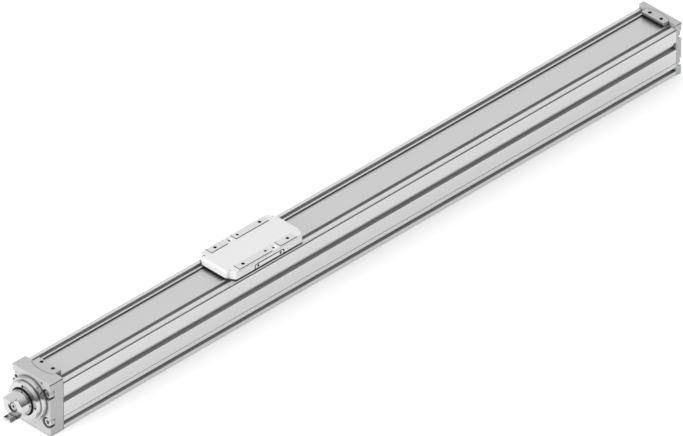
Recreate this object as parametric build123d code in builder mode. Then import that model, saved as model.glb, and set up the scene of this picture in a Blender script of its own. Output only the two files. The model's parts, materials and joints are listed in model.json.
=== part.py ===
from build123d import *
import os
from math import sqrt

os.makedirs("parts", exist_ok=True)

# Millimetres. X runs along the axis from the drive end to the far end, Y across it,
# Z up. The origin is on the underside, halfway between the outer faces of the caps.

# Overall size
body_width = 60.0
profile_height = 65.0
cap_rise = 5.0                   # top of the caps above the profile
overall_length = 1004.0          # between the outer faces of the two caps
drive_cap_length = 21.0
end_cap_length = 8.5

# Extruded profile
lip_width = 5.3                  # top lip beside each running slot
slot_width = 5.0                 # running slot between lip and cover band
slot_depth = 7.2
wall_thickness = 9.5
floor_thickness = 8.0
base_chamfer = 0.6
low_slot_base = 6.0              # clamping slot near the underside
low_slot_mouth = 5.5
low_slot_lip = 1.8
low_slot_depth = 5.4
low_slot_undercut = 0.8
mid_slot_drop = 29.0             # sensor slot halfway up, from the top
mid_slot_mouth = 6.0
mid_slot_lip = 2.0
mid_slot_depth = 5.5
mid_slot_undercut = 0.6
lead_in_depth = 1.5              # rounded upper edge of the sensor slot
lead_in_height = 5.2
fine_groove_height = 16.9
fine_groove_width = 0.8
fine_groove_depth = 0.5
top_groove_drop = 3.3
top_groove_width = 2.4
top_groove_depth = 1.2
lip_edge = 0.3
hollow_wall = 1.2                # least wall between the hollows
chamber_width = 6.0
upper_chamber_width = 5.2
chamber_corner = 1.0
floor_chamber_width = 11.0
floor_chamber_height = 4.0
notch_length = 5.0               # where a sensor is laid into its slot
notch_height = 4.0

# Linear guide on the floor of the profile
rail_width = 15.0
rail_height = 9.5
rail_groove_base = 4.0           # ball track on each flank
rail_groove_height = 3.2
rail_groove_depth = 0.9
rail_end_gap = 1.0
rail_hole_pitch = 60.0
rail_end_margin = 20.0
rail_counterbore_depth = 4.5
rail_screw_length = 8.0
guide_height = 16.0              # underside of the rail to the top of the runner
runner_width = 32.0
runner_length = 45.0
runner_lift = 4.0                # underside of the runner above the floor
runner_end_length = 6.9
runner_end_inset = 0.4
runner_hole_pitch = 25.0
runner_screw_seat = 6.0          # screw seat above the runner
runner_screw_length = 10.5
guide_gap = 0.3

# Cover band
band_rib_width = 2.1
band_rib_height = 1.9
band_thickness = 1.0
band_end_gap = 0.1

# Ball screw drive
axis_drop = 24.8                 # axis of the spindle below the profile's top
screw_diameter = 12.0
drive_journal_diameter = 10.0
end_journal_diameter = 8.0
screw_overhang = 27.4            # journal end ahead of the drive cap
end_journal_reach = 1.2          # journal beyond the far bearing
centre_hole_radius = 1.6
centre_hole_depth = 3.0
journal_edge = 0.5
nut_diameter = 22.0
nut_seat_length = 23.0
nut_flange_diameter = 33.0
nut_flange_thickness = 8.0
nut_snout_diameter = 21.0
nut_snout_length = 5.0
nut_screw_pcd = 27.0
nut_screw_grip = 8.0
nut_edge = 0.5
fit_gap = 0.03                   # radial gap of a seated fit
running_gap = 0.10               # radial gap of the nut on the screw

# Small socket screws
small_screw_radius = 1.5
small_head_radius = 2.75
small_head_height = 3.0
small_socket = 2.5               # width across flats
hole_gap = 0.2                   # radial gap round a shank
head_gap = 0.25                  # radial gap round a head
thread_gap = 0.05                # radial gap in a tapped hole
socket_share = 0.5               # socket depth as a share of the head

# Bearings
fixed_bearing_diameter = 26.0
fixed_bearing_width = 8.0
end_bearing_diameter = 22.0
end_bearing_width = 7.0
ring_thickness = 2.2
ring_edge = 0.3
ring_face_gap = 0.05             # between the faces of the paired bearings
cage_gap = 0.3
cage_inset = 1.0
housing_depth = 2.5              # thread recess ahead of the fixed bearings
shoulder_width = 3.0             # shoulder behind the fixed bearings

# Motor flange
flange_neck_diameter = 49.0
flange_neck_length = 1.2
flange_ring_diameter = 51.6
flange_ring_length = 5.8
flange_ring_edge = 0.8
flange_nose_diameter = 46.0
flange_length = 13.2
flange_bore_diameter = 33.6
flange_web = 2.5
flange_web_hole_diameter = 21.0
flange_spigot_diameter = 30.0
flange_spigot_gap = 0.1          # spigot short of the recess floor
flange_hole_pcd = 40.0
flange_hole_diameter = 3.2
flange_hole_depth = 7.0
flange_edge = 0.5

# Coupling hub with two jaws
hub_diameter = 31.0
hub_rear_gap = 8.0               # from the drive cap to the back of the hub
hub_base_length = 20.7
jaw_length = 9.5
jaw_thickness = 4.0
jaw_half_angle = 25.0
hub_mouth_diameter = 14.0
hub_mouth_depth = 2.5
hub_edge = 0.6
hub_slit = 1.2
hub_slit_length = 17.0
hub_screw_across = 10.8
hub_screw_inset = 12.0           # clamping screw from the back of the hub
hub_screw_seat = 4.5
hub_screw_length = 13.0

# Lock nut and retaining ring
lock_nut_diameter = 18.0
lock_nut_width = 7.5
lock_nut_slot = 3.0
lock_nut_slot_depth = 1.5
retaining_ring_diameter = 12.0
retaining_ring_width = 0.9
retaining_ring_mouth = 3.0

# Cap screws
cap_screw_inset = 5.2            # screw axis from the side face
cap_screw_low = 16.6
cap_screw_drop = 10.6
cap_screw_thread_radius = 2.7
cap_screw_hole_radius = 3.2
cap_screw_head_radius = 5.0
cap_screw_socket = 5.0
cap_screw_recess = 1.3           # head below the outer face of the cap
cap_screw_grip = 14.0            # length in the profile
cap_pocket_radius = 7.2
drive_screw_head_height = 6.0
end_screw_head_height = 3.9

# Caps
cap_edge = 0.4
joint_edge = 0.6                 # shadow line where a cap meets the profile
cap_groove_drop = 0.4            # side groove under the top face
cap_groove_width = 1.2
cap_groove_depth = 0.8
plug_radius = 1.8
plug_depth = 5.0
plug_recess = 0.4
plug_across = 17.0
plug_drop = 3.4
plug_socket = 1.5
tongue_length = 10.0             # shelf under the end of the band
tongue_half_width = 17.0
tongue_thickness = 4.6
end_boss_radius = 15.0
end_boss_length = 13.5
end_bore_depth = 12.5
end_bearing_inset = 2.5

# Band clamps
clamp_side_gap = 0.2
drive_clamp_start = 14.1         # from the outer face of the cap to the arc's crown
drive_clamp_reach = 29.7         # from the outer face of the cap to the free edge
end_clamp_start = 4.2
end_clamp_reach = 16.6
clamp_arc_radius = 42.0
clamp_relief_height = 1.2
clamp_relief_length = 3.0
clamp_screw_pitch = 18.0
drive_clamp_screw_inset = 4.4    # screw axis from the free edge
end_clamp_screw_inset = 4.7
clamp_screw_radius = 1.25
clamp_head_radius = 2.2
clamp_head_height = 2.5
clamp_counterbore_depth = 3.6
clamp_screw_length = 7.6
clamp_socket = 2.0
clamp_edge = 0.3

# Buffers at the ends of the travel
buffer_radius = 14.0
buffer_bore_radius = 8.5
buffer_length = 15.5
buffer_edge = 1.5

# Slide
slide_clearance = 1.8            # underside of the slide above the profile
slide_plate_thickness = 9.5
slide_side_inset = 1.0           # side of the slide inside the profile's side
slide_corner_half_length = 52.0
slide_shoulder_half_length = 56.0
slide_nose_half_length = 59.0
slide_corner_radius = 3.5
slide_edge = 1.0
slide_rest_gap = 254.5           # drive clamp to slide nose where the slide stands
block_half_length = 40.0
block_side_gap = 0.6
leg_half_length = 46.0
leg_gap = 0.5
tie_gap = 0.4
screw_clearance = 1.0
nose_half_width = 21.4
nose_thickness = 5.8
nose_lift = 0.4                  # nose underside above the plate underside
nose_corner_radius = 4.0
nose_edge_radius = 3.0
cover_half_width = 17.6
cover_thickness = 2.2
cover_gap = 0.1
pad_height = 0.7
pad_inner = 17.8
pad_outer = 27.0
pad_end = 44.5
pad_gap_near = 6.0
pad_gap_far = 19.5
hole_across = 22.2               # rows of mounting holes from the centre line
hole_pitch = 70.0
table_hole_radius = 2.1
table_hole_depth = 8.5
middle_hole_radius = 1.65
centring_radius = 3.5
centring_depth = 1.6
centring_along = 12.75
centring_pilot_radius = 1.35
centring_pilot_depth = 5.0
side_plate_half_length = 22.0
side_plate_height = 4.8
side_plate_thickness = 1.3
side_plate_gap = 0.4
side_plate_corner = 2.0
side_screw_along = 17.5
side_screw_radius = 1.0
side_screw_head_radius = 1.5
side_screw_head_height = 0.7
side_screw_length = 4.0
side_screw_socket = 1.2
wiper_gap = 0.3
wiper_length = 3.6

# Places worked out from the sizes above
half_width = body_width / 2
cap_height = profile_height + cap_rise
axis_height = profile_height - axis_drop
mid_slot_base = profile_height - mid_slot_drop
top_groove_base = profile_height - top_groove_drop
cap_screw_high = profile_height - cap_screw_drop
slide_half_width = half_width - slide_side_inset
drive_face = -overall_length / 2
end_face = overall_length / 2
profile_start = drive_face + drive_cap_length
profile_end = end_face - end_cap_length
profile_length = profile_end - profile_start
slot_outer = half_width - lip_width
band_half = slot_outer - slot_width
inner_wall = half_width - wall_thickness
ledge_height = profile_height - slot_depth
strip_top = profile_height - band_rib_height
band_underside = strip_top - band_thickness
strip_half = band_half - band_rib_width
clamp_half = strip_half - clamp_side_gap
cap_screw_across = half_width - cap_screw_inset
rail_top = floor_thickness + rail_height
runner_top = floor_thickness + guide_height
drive_clamp_edge = drive_face + drive_clamp_reach
end_clamp_edge = end_face - end_clamp_reach
slide_x = drive_clamp_edge + slide_rest_gap + slide_nose_half_length
plate_bottom = profile_height + slide_clearance
plate_top = plate_bottom + slide_plate_thickness
pad_top = plate_top + pad_height
cover_bottom = plate_top - cover_thickness
nose_bottom = plate_bottom + nose_lift
nose_back = slide_nose_half_length - nose_thickness
leg_inner = band_half + leg_gap
leg_outer = slot_outer - leg_gap
tie_bottom = ledge_height + tie_gap
tie_top = band_underside - leg_gap
block_half_width = inner_wall - block_side_gap
bearing_start = drive_face + housing_depth
bearing_end = bearing_start + 2 * fixed_bearing_width
end_boss_face = profile_end - end_boss_length
end_bearing_start = end_boss_face + end_bearing_inset
end_bearing_end = end_bearing_start + end_bearing_width
fixed_bearing_radius = fixed_bearing_diameter / 2
end_bearing_radius = end_bearing_diameter / 2
screw_radius = screw_diameter / 2
drive_journal_radius = drive_journal_diameter / 2
end_journal_radius = end_journal_diameter / 2
nut_seat_x = slide_x - block_half_length
small_hole_radius = small_screw_radius + hole_gap
small_pocket_radius = small_head_radius + head_gap
small_shank_radius = small_screw_radius - thread_gap
hub_back = drive_face - hub_rear_gap
hub_face = hub_back - hub_base_length
hub_radius = hub_diameter / 2
cap_screw_places = [
    (y, z)
    for y in (-cap_screw_across, cap_screw_across)
    for z in (cap_screw_low, cap_screw_high)
]
drive_clamp_screw_x = drive_clamp_edge - drive_clamp_screw_inset
end_clamp_screw_x = end_clamp_edge + end_clamp_screw_inset
clamp_screw_seat = cap_height - clamp_counterbore_depth
rail_start = profile_start + rail_end_gap
rail_length = profile_length - 2 * rail_end_gap
rail_middle = rail_start + rail_length / 2
rail_hole_count = int((rail_length - 2 * rail_end_margin) / rail_hole_pitch) + 1
rail_screw_seat = rail_top - rail_counterbore_depth
plug_height = cap_height - plug_drop


# Planes and shapes that several pieces share

def facing_drive_end(x):
    # Looks towards the drive end: the sketch's x runs along -Y and its y along Z
    return Plane(origin=(x, 0, 0), x_dir=(0, -1, 0), z_dir=(-1, 0, 0))


def slide_level(height):
    # Level plane with its origin at the middle of the slide
    return Plane(origin=(slide_x, 0, height))


def socket_screws(seat, places, head_radius, head_height, shank_radius, shank_length, socket):
    # Cylindrical heads stand on the seat plane and the shanks hang below it
    with BuildPart() as screws:
        with BuildSketch(seat):
            with Locations(*places):
                Circle(head_radius)
        extrude(amount=head_height)
        with BuildSketch(seat):
            with Locations(*places):
                Circle(shank_radius)
        extrude(amount=-shank_length)
        with BuildSketch(seat.offset(head_height)):
            with Locations(*places):
                RegularPolygon(socket / sqrt(3), 6)
        extrude(amount=-head_height * socket_share, mode=Mode.SUBTRACT)
    return screws.part


def turned_ring(start, length, bore_radius, outer_radius, edge):
    # Ring about the spindle's axis, bevelled at its outer edges
    with BuildPart() as ring:
        with BuildSketch(Plane.YZ.offset(start)):
            with Locations((0, axis_height)):
                Circle(outer_radius)
        extrude(amount=length)
        chamfer(ring.edges().filter_by(GeomType.CIRCLE), edge)
        with BuildSketch(Plane.YZ.offset(start)):
            with Locations((0, axis_height)):
                Circle(bore_radius)
        extrude(amount=length, mode=Mode.SUBTRACT)
    return ring.part


def clamp_outline(crown, free_edge, half, arc_radius):
    # Plan of a band clamp: an arc towards the cap, square at its free edge
    sagitta = arc_radius - sqrt(arc_radius**2 - half**2)
    corner = crown + sagitta if free_edge > crown else crown - sagitta
    with BuildSketch() as outline:
        with BuildLine():
            ThreePointArc((corner, -half), (crown, 0), (corner, half))
            Polyline((corner, half), (free_edge, half), (free_edge, -half), (corner, -half))
        make_face()
    return outline.sketch


def clamp_pocket(crown, free_edge):
    # Plan of the recess for a band clamp in the top of a cap
    inward = 1 if free_edge > crown else -1
    return clamp_outline(
        crown - inward * clamp_side_gap,
        free_edge,
        clamp_half + clamp_side_gap,
        clamp_arc_radius + clamp_side_gap,
    )


def band_clamp(crown, free_edge, screw_x):
    # Flat bar that presses the end of the cover band down on the cap
    inward = 1 if free_edge > crown else -1
    plan = clamp_outline(crown, free_edge, clamp_half, clamp_arc_radius)
    with BuildPart() as clamp:
        with BuildSketch(Plane.XY.offset(strip_top)):
            add(plan)
        extrude(amount=cap_height - strip_top)
        chamfer(clamp.edges().group_by(Axis.Z)[-1], clamp_edge)
        with BuildSketch(Plane.XY.offset(strip_top)):
            with Locations((free_edge - inward * clamp_relief_length / 2, 0)):
                Rectangle(clamp_relief_length, 2 * clamp_half)
        extrude(amount=clamp_relief_height, mode=Mode.SUBTRACT)
        with Locations((screw_x, 0, cap_height)):
            with GridLocations(0, clamp_screw_pitch, 1, 2):
                CounterBoreHole(
                    clamp_screw_radius + hole_gap,
                    clamp_head_radius + hole_gap,
                    clamp_counterbore_depth,
                    cap_height - strip_top,
                )
    return clamp.part


def clamp_screws(screw_x):
    # Pair of screws through a band clamp and the band into the cap's tongue
    places = [(screw_x, y) for y in (-clamp_screw_pitch / 2, clamp_screw_pitch / 2)]
    return socket_screws(
        Plane.XY.offset(clamp_screw_seat),
        places,
        clamp_head_radius,
        clamp_head_height,
        clamp_screw_radius - thread_gap,
        clamp_screw_length,
        clamp_socket,
    )


def side_plate_outline(growth):
    # Upright outline of the side plate, standing on its lower edge
    with BuildSketch() as outline:
        Rectangle(
            2 * (side_plate_half_length + growth),
            side_plate_height + growth,
            align=(Align.CENTER, Align.MIN),
        )
        fillet(outline.vertices().group_by(Axis.Y)[-1], side_plate_corner + growth)
    return outline.sketch


def nose_outline(sign):
    # Plan of one rounded end of the slide cover
    with BuildSketch() as outline:
        with Locations((sign * (nose_back + slide_nose_half_length) / 2, 0)):
            Rectangle(nose_thickness, 2 * nose_half_width)
        outer = [v for v in outline.vertices() if abs(v.X) > slide_nose_half_length - nose_thickness / 2]
        fillet(outer, nose_corner_radius)
    return outline.sketch


# Extruded profile: hollow walls, a clamping slot and a sensor slot on each side

low_slot_top = low_slot_base + low_slot_mouth
mid_slot_top = mid_slot_base + mid_slot_mouth
mid_slot_roof = mid_slot_top + mid_slot_undercut
top_groove_top = top_groove_base + top_groove_width
low_chamber_base = cap_screw_low + cap_screw_thread_radius + hollow_wall
low_chamber_top = mid_slot_base - mid_slot_undercut - hollow_wall
high_chamber_base = mid_slot_roof + hollow_wall
high_chamber_top = cap_screw_high - cap_screw_thread_radius - hollow_wall
chamber_inner = inner_wall + hollow_wall
hollows = [
    (
        chamber_inner + chamber_width / 2,
        (low_chamber_base + low_chamber_top) / 2,
        chamber_width,
        low_chamber_top - low_chamber_base,
    ),
    (
        chamber_inner + upper_chamber_width / 2,
        (high_chamber_base + high_chamber_top) / 2,
        upper_chamber_width,
        high_chamber_top - high_chamber_base,
    ),
    (
        inner_wall - floor_chamber_width / 2,
        floor_thickness / 2,
        floor_chamber_width,
        floor_chamber_height,
    ),
]
rail_thread_depth = rail_screw_length - (rail_screw_seat - floor_thickness) + hole_gap

with BuildPart() as profile:
    with BuildSketch(Plane.YZ.offset(profile_start)):
        with BuildLine():
            Polyline(
                (0, 0),
                (half_width - base_chamfer, 0),
                (half_width, base_chamfer),
                (half_width, low_slot_base),
                (half_width - low_slot_lip, low_slot_base),
                (half_width - low_slot_lip, low_slot_base - low_slot_undercut),
                (half_width - low_slot_depth, low_slot_base - low_slot_undercut),
                (half_width - low_slot_depth, low_slot_top + low_slot_undercut),
                (half_width - low_slot_lip, low_slot_top + low_slot_undercut),
                (half_width - low_slot_lip, low_slot_top),
                (half_width, low_slot_top),
                (half_width, fine_groove_height - fine_groove_width / 2),
                (half_width - fine_groove_depth, fine_groove_height),
                (half_width, fine_groove_height + fine_groove_width / 2),
                (half_width, mid_slot_base),
                (half_width - mid_slot_lip, mid_slot_base),
                (half_width - mid_slot_lip, mid_slot_base - mid_slot_undercut),
                (half_width - mid_slot_depth, mid_slot_base - mid_slot_undercut),
                (half_width - mid_slot_depth, mid_slot_roof),
                (half_width - mid_slot_lip, mid_slot_roof),
                (half_width - mid_slot_lip, mid_slot_top),
                (half_width - lead_in_depth, mid_slot_top),
            )
            TangentArc(
                (half_width, mid_slot_top + lead_in_height),
                (half_width - lead_in_depth, mid_slot_top),
                tangent=(0, -1),
            )
            Polyline(
                (half_width, mid_slot_top + lead_in_height),
                (half_width, top_groove_base),
                (half_width - top_groove_depth, top_groove_base),
                (half_width - top_groove_depth, top_groove_top),
                (half_width, top_groove_top),
                (half_width, profile_height - lip_edge),
                (half_width - lip_edge, profile_height),
                (slot_outer, profile_height),
                (slot_outer, ledge_height),
                (inner_wall, ledge_height),
                (inner_wall, floor_thickness),
                (0, floor_thickness),
            )
            mirror(about=Plane.YZ)
        make_face()
        with Locations(*cap_screw_places):
            Circle(cap_screw_thread_radius, mode=Mode.SUBTRACT)
        for across, height, width, tall in hollows:
            with Locations((-across, height), (across, height)):
                RectangleRounded(width, tall, chamber_corner, mode=Mode.SUBTRACT)
    extrude(amount=profile_length)
    with BuildSketch(Plane.XZ.offset(half_width)):
        with Locations((profile_end, mid_slot_top)):
            Rectangle(notch_length, notch_height, align=(Align.MAX, Align.MIN))
    extrude(amount=-mid_slot_depth, mode=Mode.SUBTRACT)
    with BuildSketch(Plane.XY.offset(floor_thickness)):
        with Locations((rail_middle, 0)):
            with GridLocations(rail_hole_pitch, 1, rail_hole_count, 1):
                Circle(small_screw_radius)
    extrude(amount=-rail_thread_depth, mode=Mode.SUBTRACT)
profile.part.label = "profile"
export_step(profile.part, "parts/profile.step")


# Guide rail with a ball track on each flank, screwed to the profile's floor

rail_half = rail_width / 2
rail_groove_middle = rail_groove_base + rail_groove_height / 2

with BuildPart() as guide_rail:
    with BuildSketch(Plane(origin=(rail_start, 0, floor_thickness), x_dir=(0, 1, 0), z_dir=(1, 0, 0))):
        with BuildLine():
            Polyline((0, 0), (rail_half, 0), (rail_half, rail_groove_base))
            ThreePointArc(
                (rail_half, rail_groove_base),
                (rail_half - rail_groove_depth, rail_groove_middle),
                (rail_half, rail_groove_base + rail_groove_height),
            )
            Polyline(
                (rail_half, rail_groove_base + rail_groove_height),
                (rail_half, rail_height),
                (0, rail_height),
            )
            mirror(about=Plane.YZ)
        make_face()
    extrude(amount=rail_length)
    with Locations((rail_middle, 0, rail_top)):
        with GridLocations(rail_hole_pitch, 1, rail_hole_count, 1):
            CounterBoreHole(small_hole_radius, small_pocket_radius, rail_counterbore_depth, rail_height)
guide_rail.part.label = "guide_rail"
export_step(guide_rail.part, "parts/guide_rail.step")

rail_screw_places = [
    (rail_middle + (i - (rail_hole_count - 1) / 2) * rail_hole_pitch, 0)
    for i in range(rail_hole_count)
]
with BuildPart() as rail_screws:
    add(socket_screws(
        Plane.XY.offset(rail_screw_seat),
        rail_screw_places,
        small_head_radius,
        small_head_height,
        small_shank_radius,
        rail_screw_length,
        small_socket,
    ))
rail_screws.part.label = "rail_screws"
export_step(rail_screws.part, "parts/rail_screws.step")


# Drive cap: bearing housing, pockets for the cap screws, shelf and recess for the band

drive_pocket_depth = drive_screw_head_height + cap_screw_recess
tongue_middle = band_underside - tongue_thickness / 2

with BuildPart() as drive_cap:
    with BuildSketch(Plane.YZ.offset(drive_face)):
        Rectangle(body_width, cap_height, align=(Align.CENTER, Align.MIN))
    extrude(amount=drive_cap_length)
    chamfer(drive_cap.edges().group_by(Axis.X)[-1], joint_edge)
    chamfer(drive_cap.edges().group_by(Axis.X)[0], cap_edge)
    with BuildSketch(Plane.YZ.offset(profile_start)):
        with Locations((0, tongue_middle)):
            Rectangle(2 * tongue_half_width, tongue_thickness)
    extrude(amount=tongue_length)
    with BuildSketch(Plane.YZ.offset(drive_face)):
        with Locations((0, axis_height)):
            Circle(flange_spigot_diameter / 2 + fit_gap)
    extrude(amount=housing_depth, mode=Mode.SUBTRACT)
    with BuildSketch(Plane.YZ.offset(bearing_start)):
        with Locations((0, axis_height)):
            Circle(fixed_bearing_radius + fit_gap)
    extrude(amount=2 * fixed_bearing_width, mode=Mode.SUBTRACT)
    with BuildSketch(Plane.YZ.offset(bearing_end)):
        with Locations((0, axis_height)):
            Circle(fixed_bearing_radius - shoulder_width)
    extrude(amount=profile_start - bearing_end, mode=Mode.SUBTRACT)
    with BuildSketch(Plane.YZ.offset(drive_face)):
        with Locations(*cap_screw_places):
            Circle(cap_pocket_radius)
    extrude(amount=drive_pocket_depth, mode=Mode.SUBTRACT)
    with BuildSketch(Plane.YZ.offset(drive_face)):
        with Locations(*cap_screw_places):
            Circle(cap_screw_hole_radius)
    extrude(amount=drive_cap_length, mode=Mode.SUBTRACT)
    with BuildSketch(Plane.YZ.offset(drive_face)):
        with Locations((-plug_across, plug_height)):
            Circle(plug_radius)
    extrude(amount=plug_depth, mode=Mode.SUBTRACT)
    with BuildSketch(Plane.YZ.offset(drive_face)):
        with Locations(
            (-half_width, cap_height - cap_groove_drop - cap_groove_width / 2),
            (half_width, cap_height - cap_groove_drop - cap_groove_width / 2),
        ):
            Rectangle(2 * cap_groove_depth, cap_groove_width)
    extrude(amount=drive_cap_length, mode=Mode.SUBTRACT)
    with BuildSketch(Plane.XY.offset(strip_top)):
        add(clamp_pocket(drive_face + drive_clamp_start, drive_clamp_edge))
    extrude(amount=cap_height - strip_top, mode=Mode.SUBTRACT)
    with BuildSketch(Plane.XY.offset(band_underside)):
        with Locations((drive_clamp_screw_x, 0)):
            with GridLocations(1, clamp_screw_pitch, 1, 2):
                Circle(clamp_screw_radius)
    extrude(amount=-tongue_thickness, mode=Mode.SUBTRACT)
drive_cap.part.label = "drive_cap"
export_step(drive_cap.part, "parts/drive_cap.step")

drive_cap_screw_length = drive_cap_length - drive_pocket_depth + cap_screw_grip
with BuildPart() as drive_cap_screws:
    add(socket_screws(
        facing_drive_end(drive_face + drive_pocket_depth),
        cap_screw_places,
        cap_screw_head_radius,
        drive_screw_head_height,
        cap_screw_thread_radius - thread_gap,
        drive_cap_screw_length,
        cap_screw_socket,
    ))
drive_cap_screws.part.label = "drive_cap_screws"
export_step(drive_cap_screws.part, "parts/drive_cap_screws.step")

with BuildPart() as cap_plug:
    with BuildSketch(facing_drive_end(drive_face + plug_recess)):
        with Locations((plug_across, plug_height)):
            Circle(plug_radius - thread_gap)
            RegularPolygon(plug_socket / sqrt(3), 6, mode=Mode.SUBTRACT)
    extrude(amount=-(plug_depth - plug_recess) / 2)
    with BuildSketch(facing_drive_end(drive_face + (plug_depth + plug_recess) / 2)):
        with Locations((plug_across, plug_height)):
            Circle(plug_radius - thread_gap)
    extrude(amount=-(plug_depth - plug_recess) / 2)
cap_plug.part.label = "cap_plug"
export_step(cap_plug.part, "parts/cap_plug.step")


# End cap: thin plate with a boss inside the profile that houses the far bearing

end_pocket_depth = end_screw_head_height + cap_screw_recess

with BuildPart() as end_cap:
    with BuildSketch(Plane.YZ.offset(profile_end)):
        Rectangle(body_width, cap_height, align=(Align.CENTER, Align.MIN))
    extrude(amount=end_cap_length)
    chamfer(end_cap.edges().group_by(Axis.X)[0], joint_edge)
    chamfer(end_cap.edges().group_by(Axis.X)[-1], cap_edge)
    with BuildSketch(Plane.YZ.offset(profile_end)):
        with Locations((0, tongue_middle)):
            Rectangle(2 * tongue_half_width, tongue_thickness)
    extrude(amount=-tongue_length)
    with BuildSketch(Plane.YZ.offset(profile_end)):
        with Locations((0, axis_height)):
            Circle(end_boss_radius)
    extrude(amount=-end_boss_length)
    with BuildSketch(Plane.YZ.offset(end_boss_face)):
        with Locations((0, axis_height)):
            Circle(end_bearing_radius + fit_gap)
    extrude(amount=end_bore_depth, mode=Mode.SUBTRACT)
    with BuildSketch(Plane.YZ.offset(end_face)):
        with Locations(*cap_screw_places):
            Circle(cap_pocket_radius)
    extrude(amount=-end_pocket_depth, mode=Mode.SUBTRACT)
    with BuildSketch(Plane.YZ.offset(end_face)):
        with Locations(*cap_screw_places):
            Circle(cap_screw_hole_radius)
    extrude(amount=-end_cap_length, mode=Mode.SUBTRACT)
    with BuildSketch(Plane.YZ.offset(end_face)):
        with Locations(
            (-half_width, cap_height - cap_groove_drop - cap_groove_width / 2),
            (half_width, cap_height - cap_groove_drop - cap_groove_width / 2),
        ):
            Rectangle(2 * cap_groove_depth, cap_groove_width)
    extrude(amount=-end_cap_length, mode=Mode.SUBTRACT)
    with BuildSketch(Plane.XY.offset(strip_top)):
        add(clamp_pocket(end_face - end_clamp_start, end_clamp_edge))
    extrude(amount=cap_height - strip_top, mode=Mode.SUBTRACT)
    with BuildSketch(Plane.XY.offset(band_underside)):
        with Locations((end_clamp_screw_x, 0)):
            with GridLocations(1, clamp_screw_pitch, 1, 2):
                Circle(clamp_screw_radius)
    extrude(amount=-tongue_thickness, mode=Mode.SUBTRACT)
end_cap.part.label = "end_cap"
export_step(end_cap.part, "parts/end_cap.step")

end_cap_screw_length = end_cap_length - end_pocket_depth + cap_screw_grip
with BuildPart() as end_cap_screws:
    add(socket_screws(
        Plane.YZ.offset(end_face - end_pocket_depth),
        cap_screw_places,
        cap_screw_head_radius,
        end_screw_head_height,
        cap_screw_thread_radius - thread_gap,
        end_cap_screw_length,
        cap_screw_socket,
    ))
end_cap_screws.part.label = "end_cap_screws"
export_step(end_cap_screws.part, "parts/end_cap_screws.step")


# Cover band: a flat strip with a raised rib along each side

band_start = profile_start + band_end_gap
band_length = profile_length - 2 * band_end_gap

with BuildPart() as cover_band:
    with BuildSketch(Plane.YZ.offset(band_start)):
        with BuildLine():
            Polyline(
                (0, band_underside),
                (band_half, band_underside),
                (band_half, profile_height),
                (strip_half, profile_height),
                (strip_half, strip_top),
                (0, strip_top),
            )
            mirror(about=Plane.YZ)
        make_face()
    extrude(amount=band_length)
    with BuildSketch(Plane.XY.offset(band_underside)):
        for screw_x in (drive_clamp_screw_x, end_clamp_screw_x):
            with Locations((screw_x, 0)):
                with GridLocations(1, clamp_screw_pitch, 1, 2):
                    Circle(clamp_screw_radius + hole_gap)
    extrude(amount=band_thickness, mode=Mode.SUBTRACT)
cover_band.part.label = "cover_band"
export_step(cover_band.part, "parts/cover_band.step")

with BuildPart() as drive_band_clamp:
    add(band_clamp(drive_face + drive_clamp_start, drive_clamp_edge, drive_clamp_screw_x))
drive_band_clamp.part.label = "drive_band_clamp"
export_step(drive_band_clamp.part, "parts/drive_band_clamp.step")

with BuildPart() as end_band_clamp:
    add(band_clamp(end_face - end_clamp_start, end_clamp_edge, end_clamp_screw_x))
end_band_clamp.part.label = "end_band_clamp"
export_step(end_band_clamp.part, "parts/end_band_clamp.step")

with BuildPart() as drive_clamp_screws:
    add(clamp_screws(drive_clamp_screw_x))
drive_clamp_screws.part.label = "drive_clamp_screws"
export_step(drive_clamp_screws.part, "parts/drive_clamp_screws.step")

with BuildPart() as end_clamp_screws:
    add(clamp_screws(end_clamp_screw_x))
end_clamp_screws.part.label = "end_clamp_screws"
export_step(end_clamp_screws.part, "parts/end_clamp_screws.step")


# Rubber buffers that stop the slide inside the profile

with BuildPart() as drive_buffer:
    add(turned_ring(profile_start, buffer_length, buffer_bore_radius, buffer_radius, buffer_edge))
drive_buffer.part.label = "drive_buffer"
export_step(drive_buffer.part, "parts/drive_buffer.step")

with BuildPart() as end_buffer:
    add(turned_ring(
        end_boss_face - buffer_length,
        buffer_length,
        buffer_bore_radius,
        buffer_radius,
        buffer_edge,
    ))
end_buffer.part.label = "end_buffer"
export_step(end_buffer.part, "parts/end_buffer.step")


# Motor flange: its spigot holds the fixed bearings, its bore gives the hub room

flange_face = drive_face - flange_length
ring_front = drive_face - flange_neck_length - flange_ring_length

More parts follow.
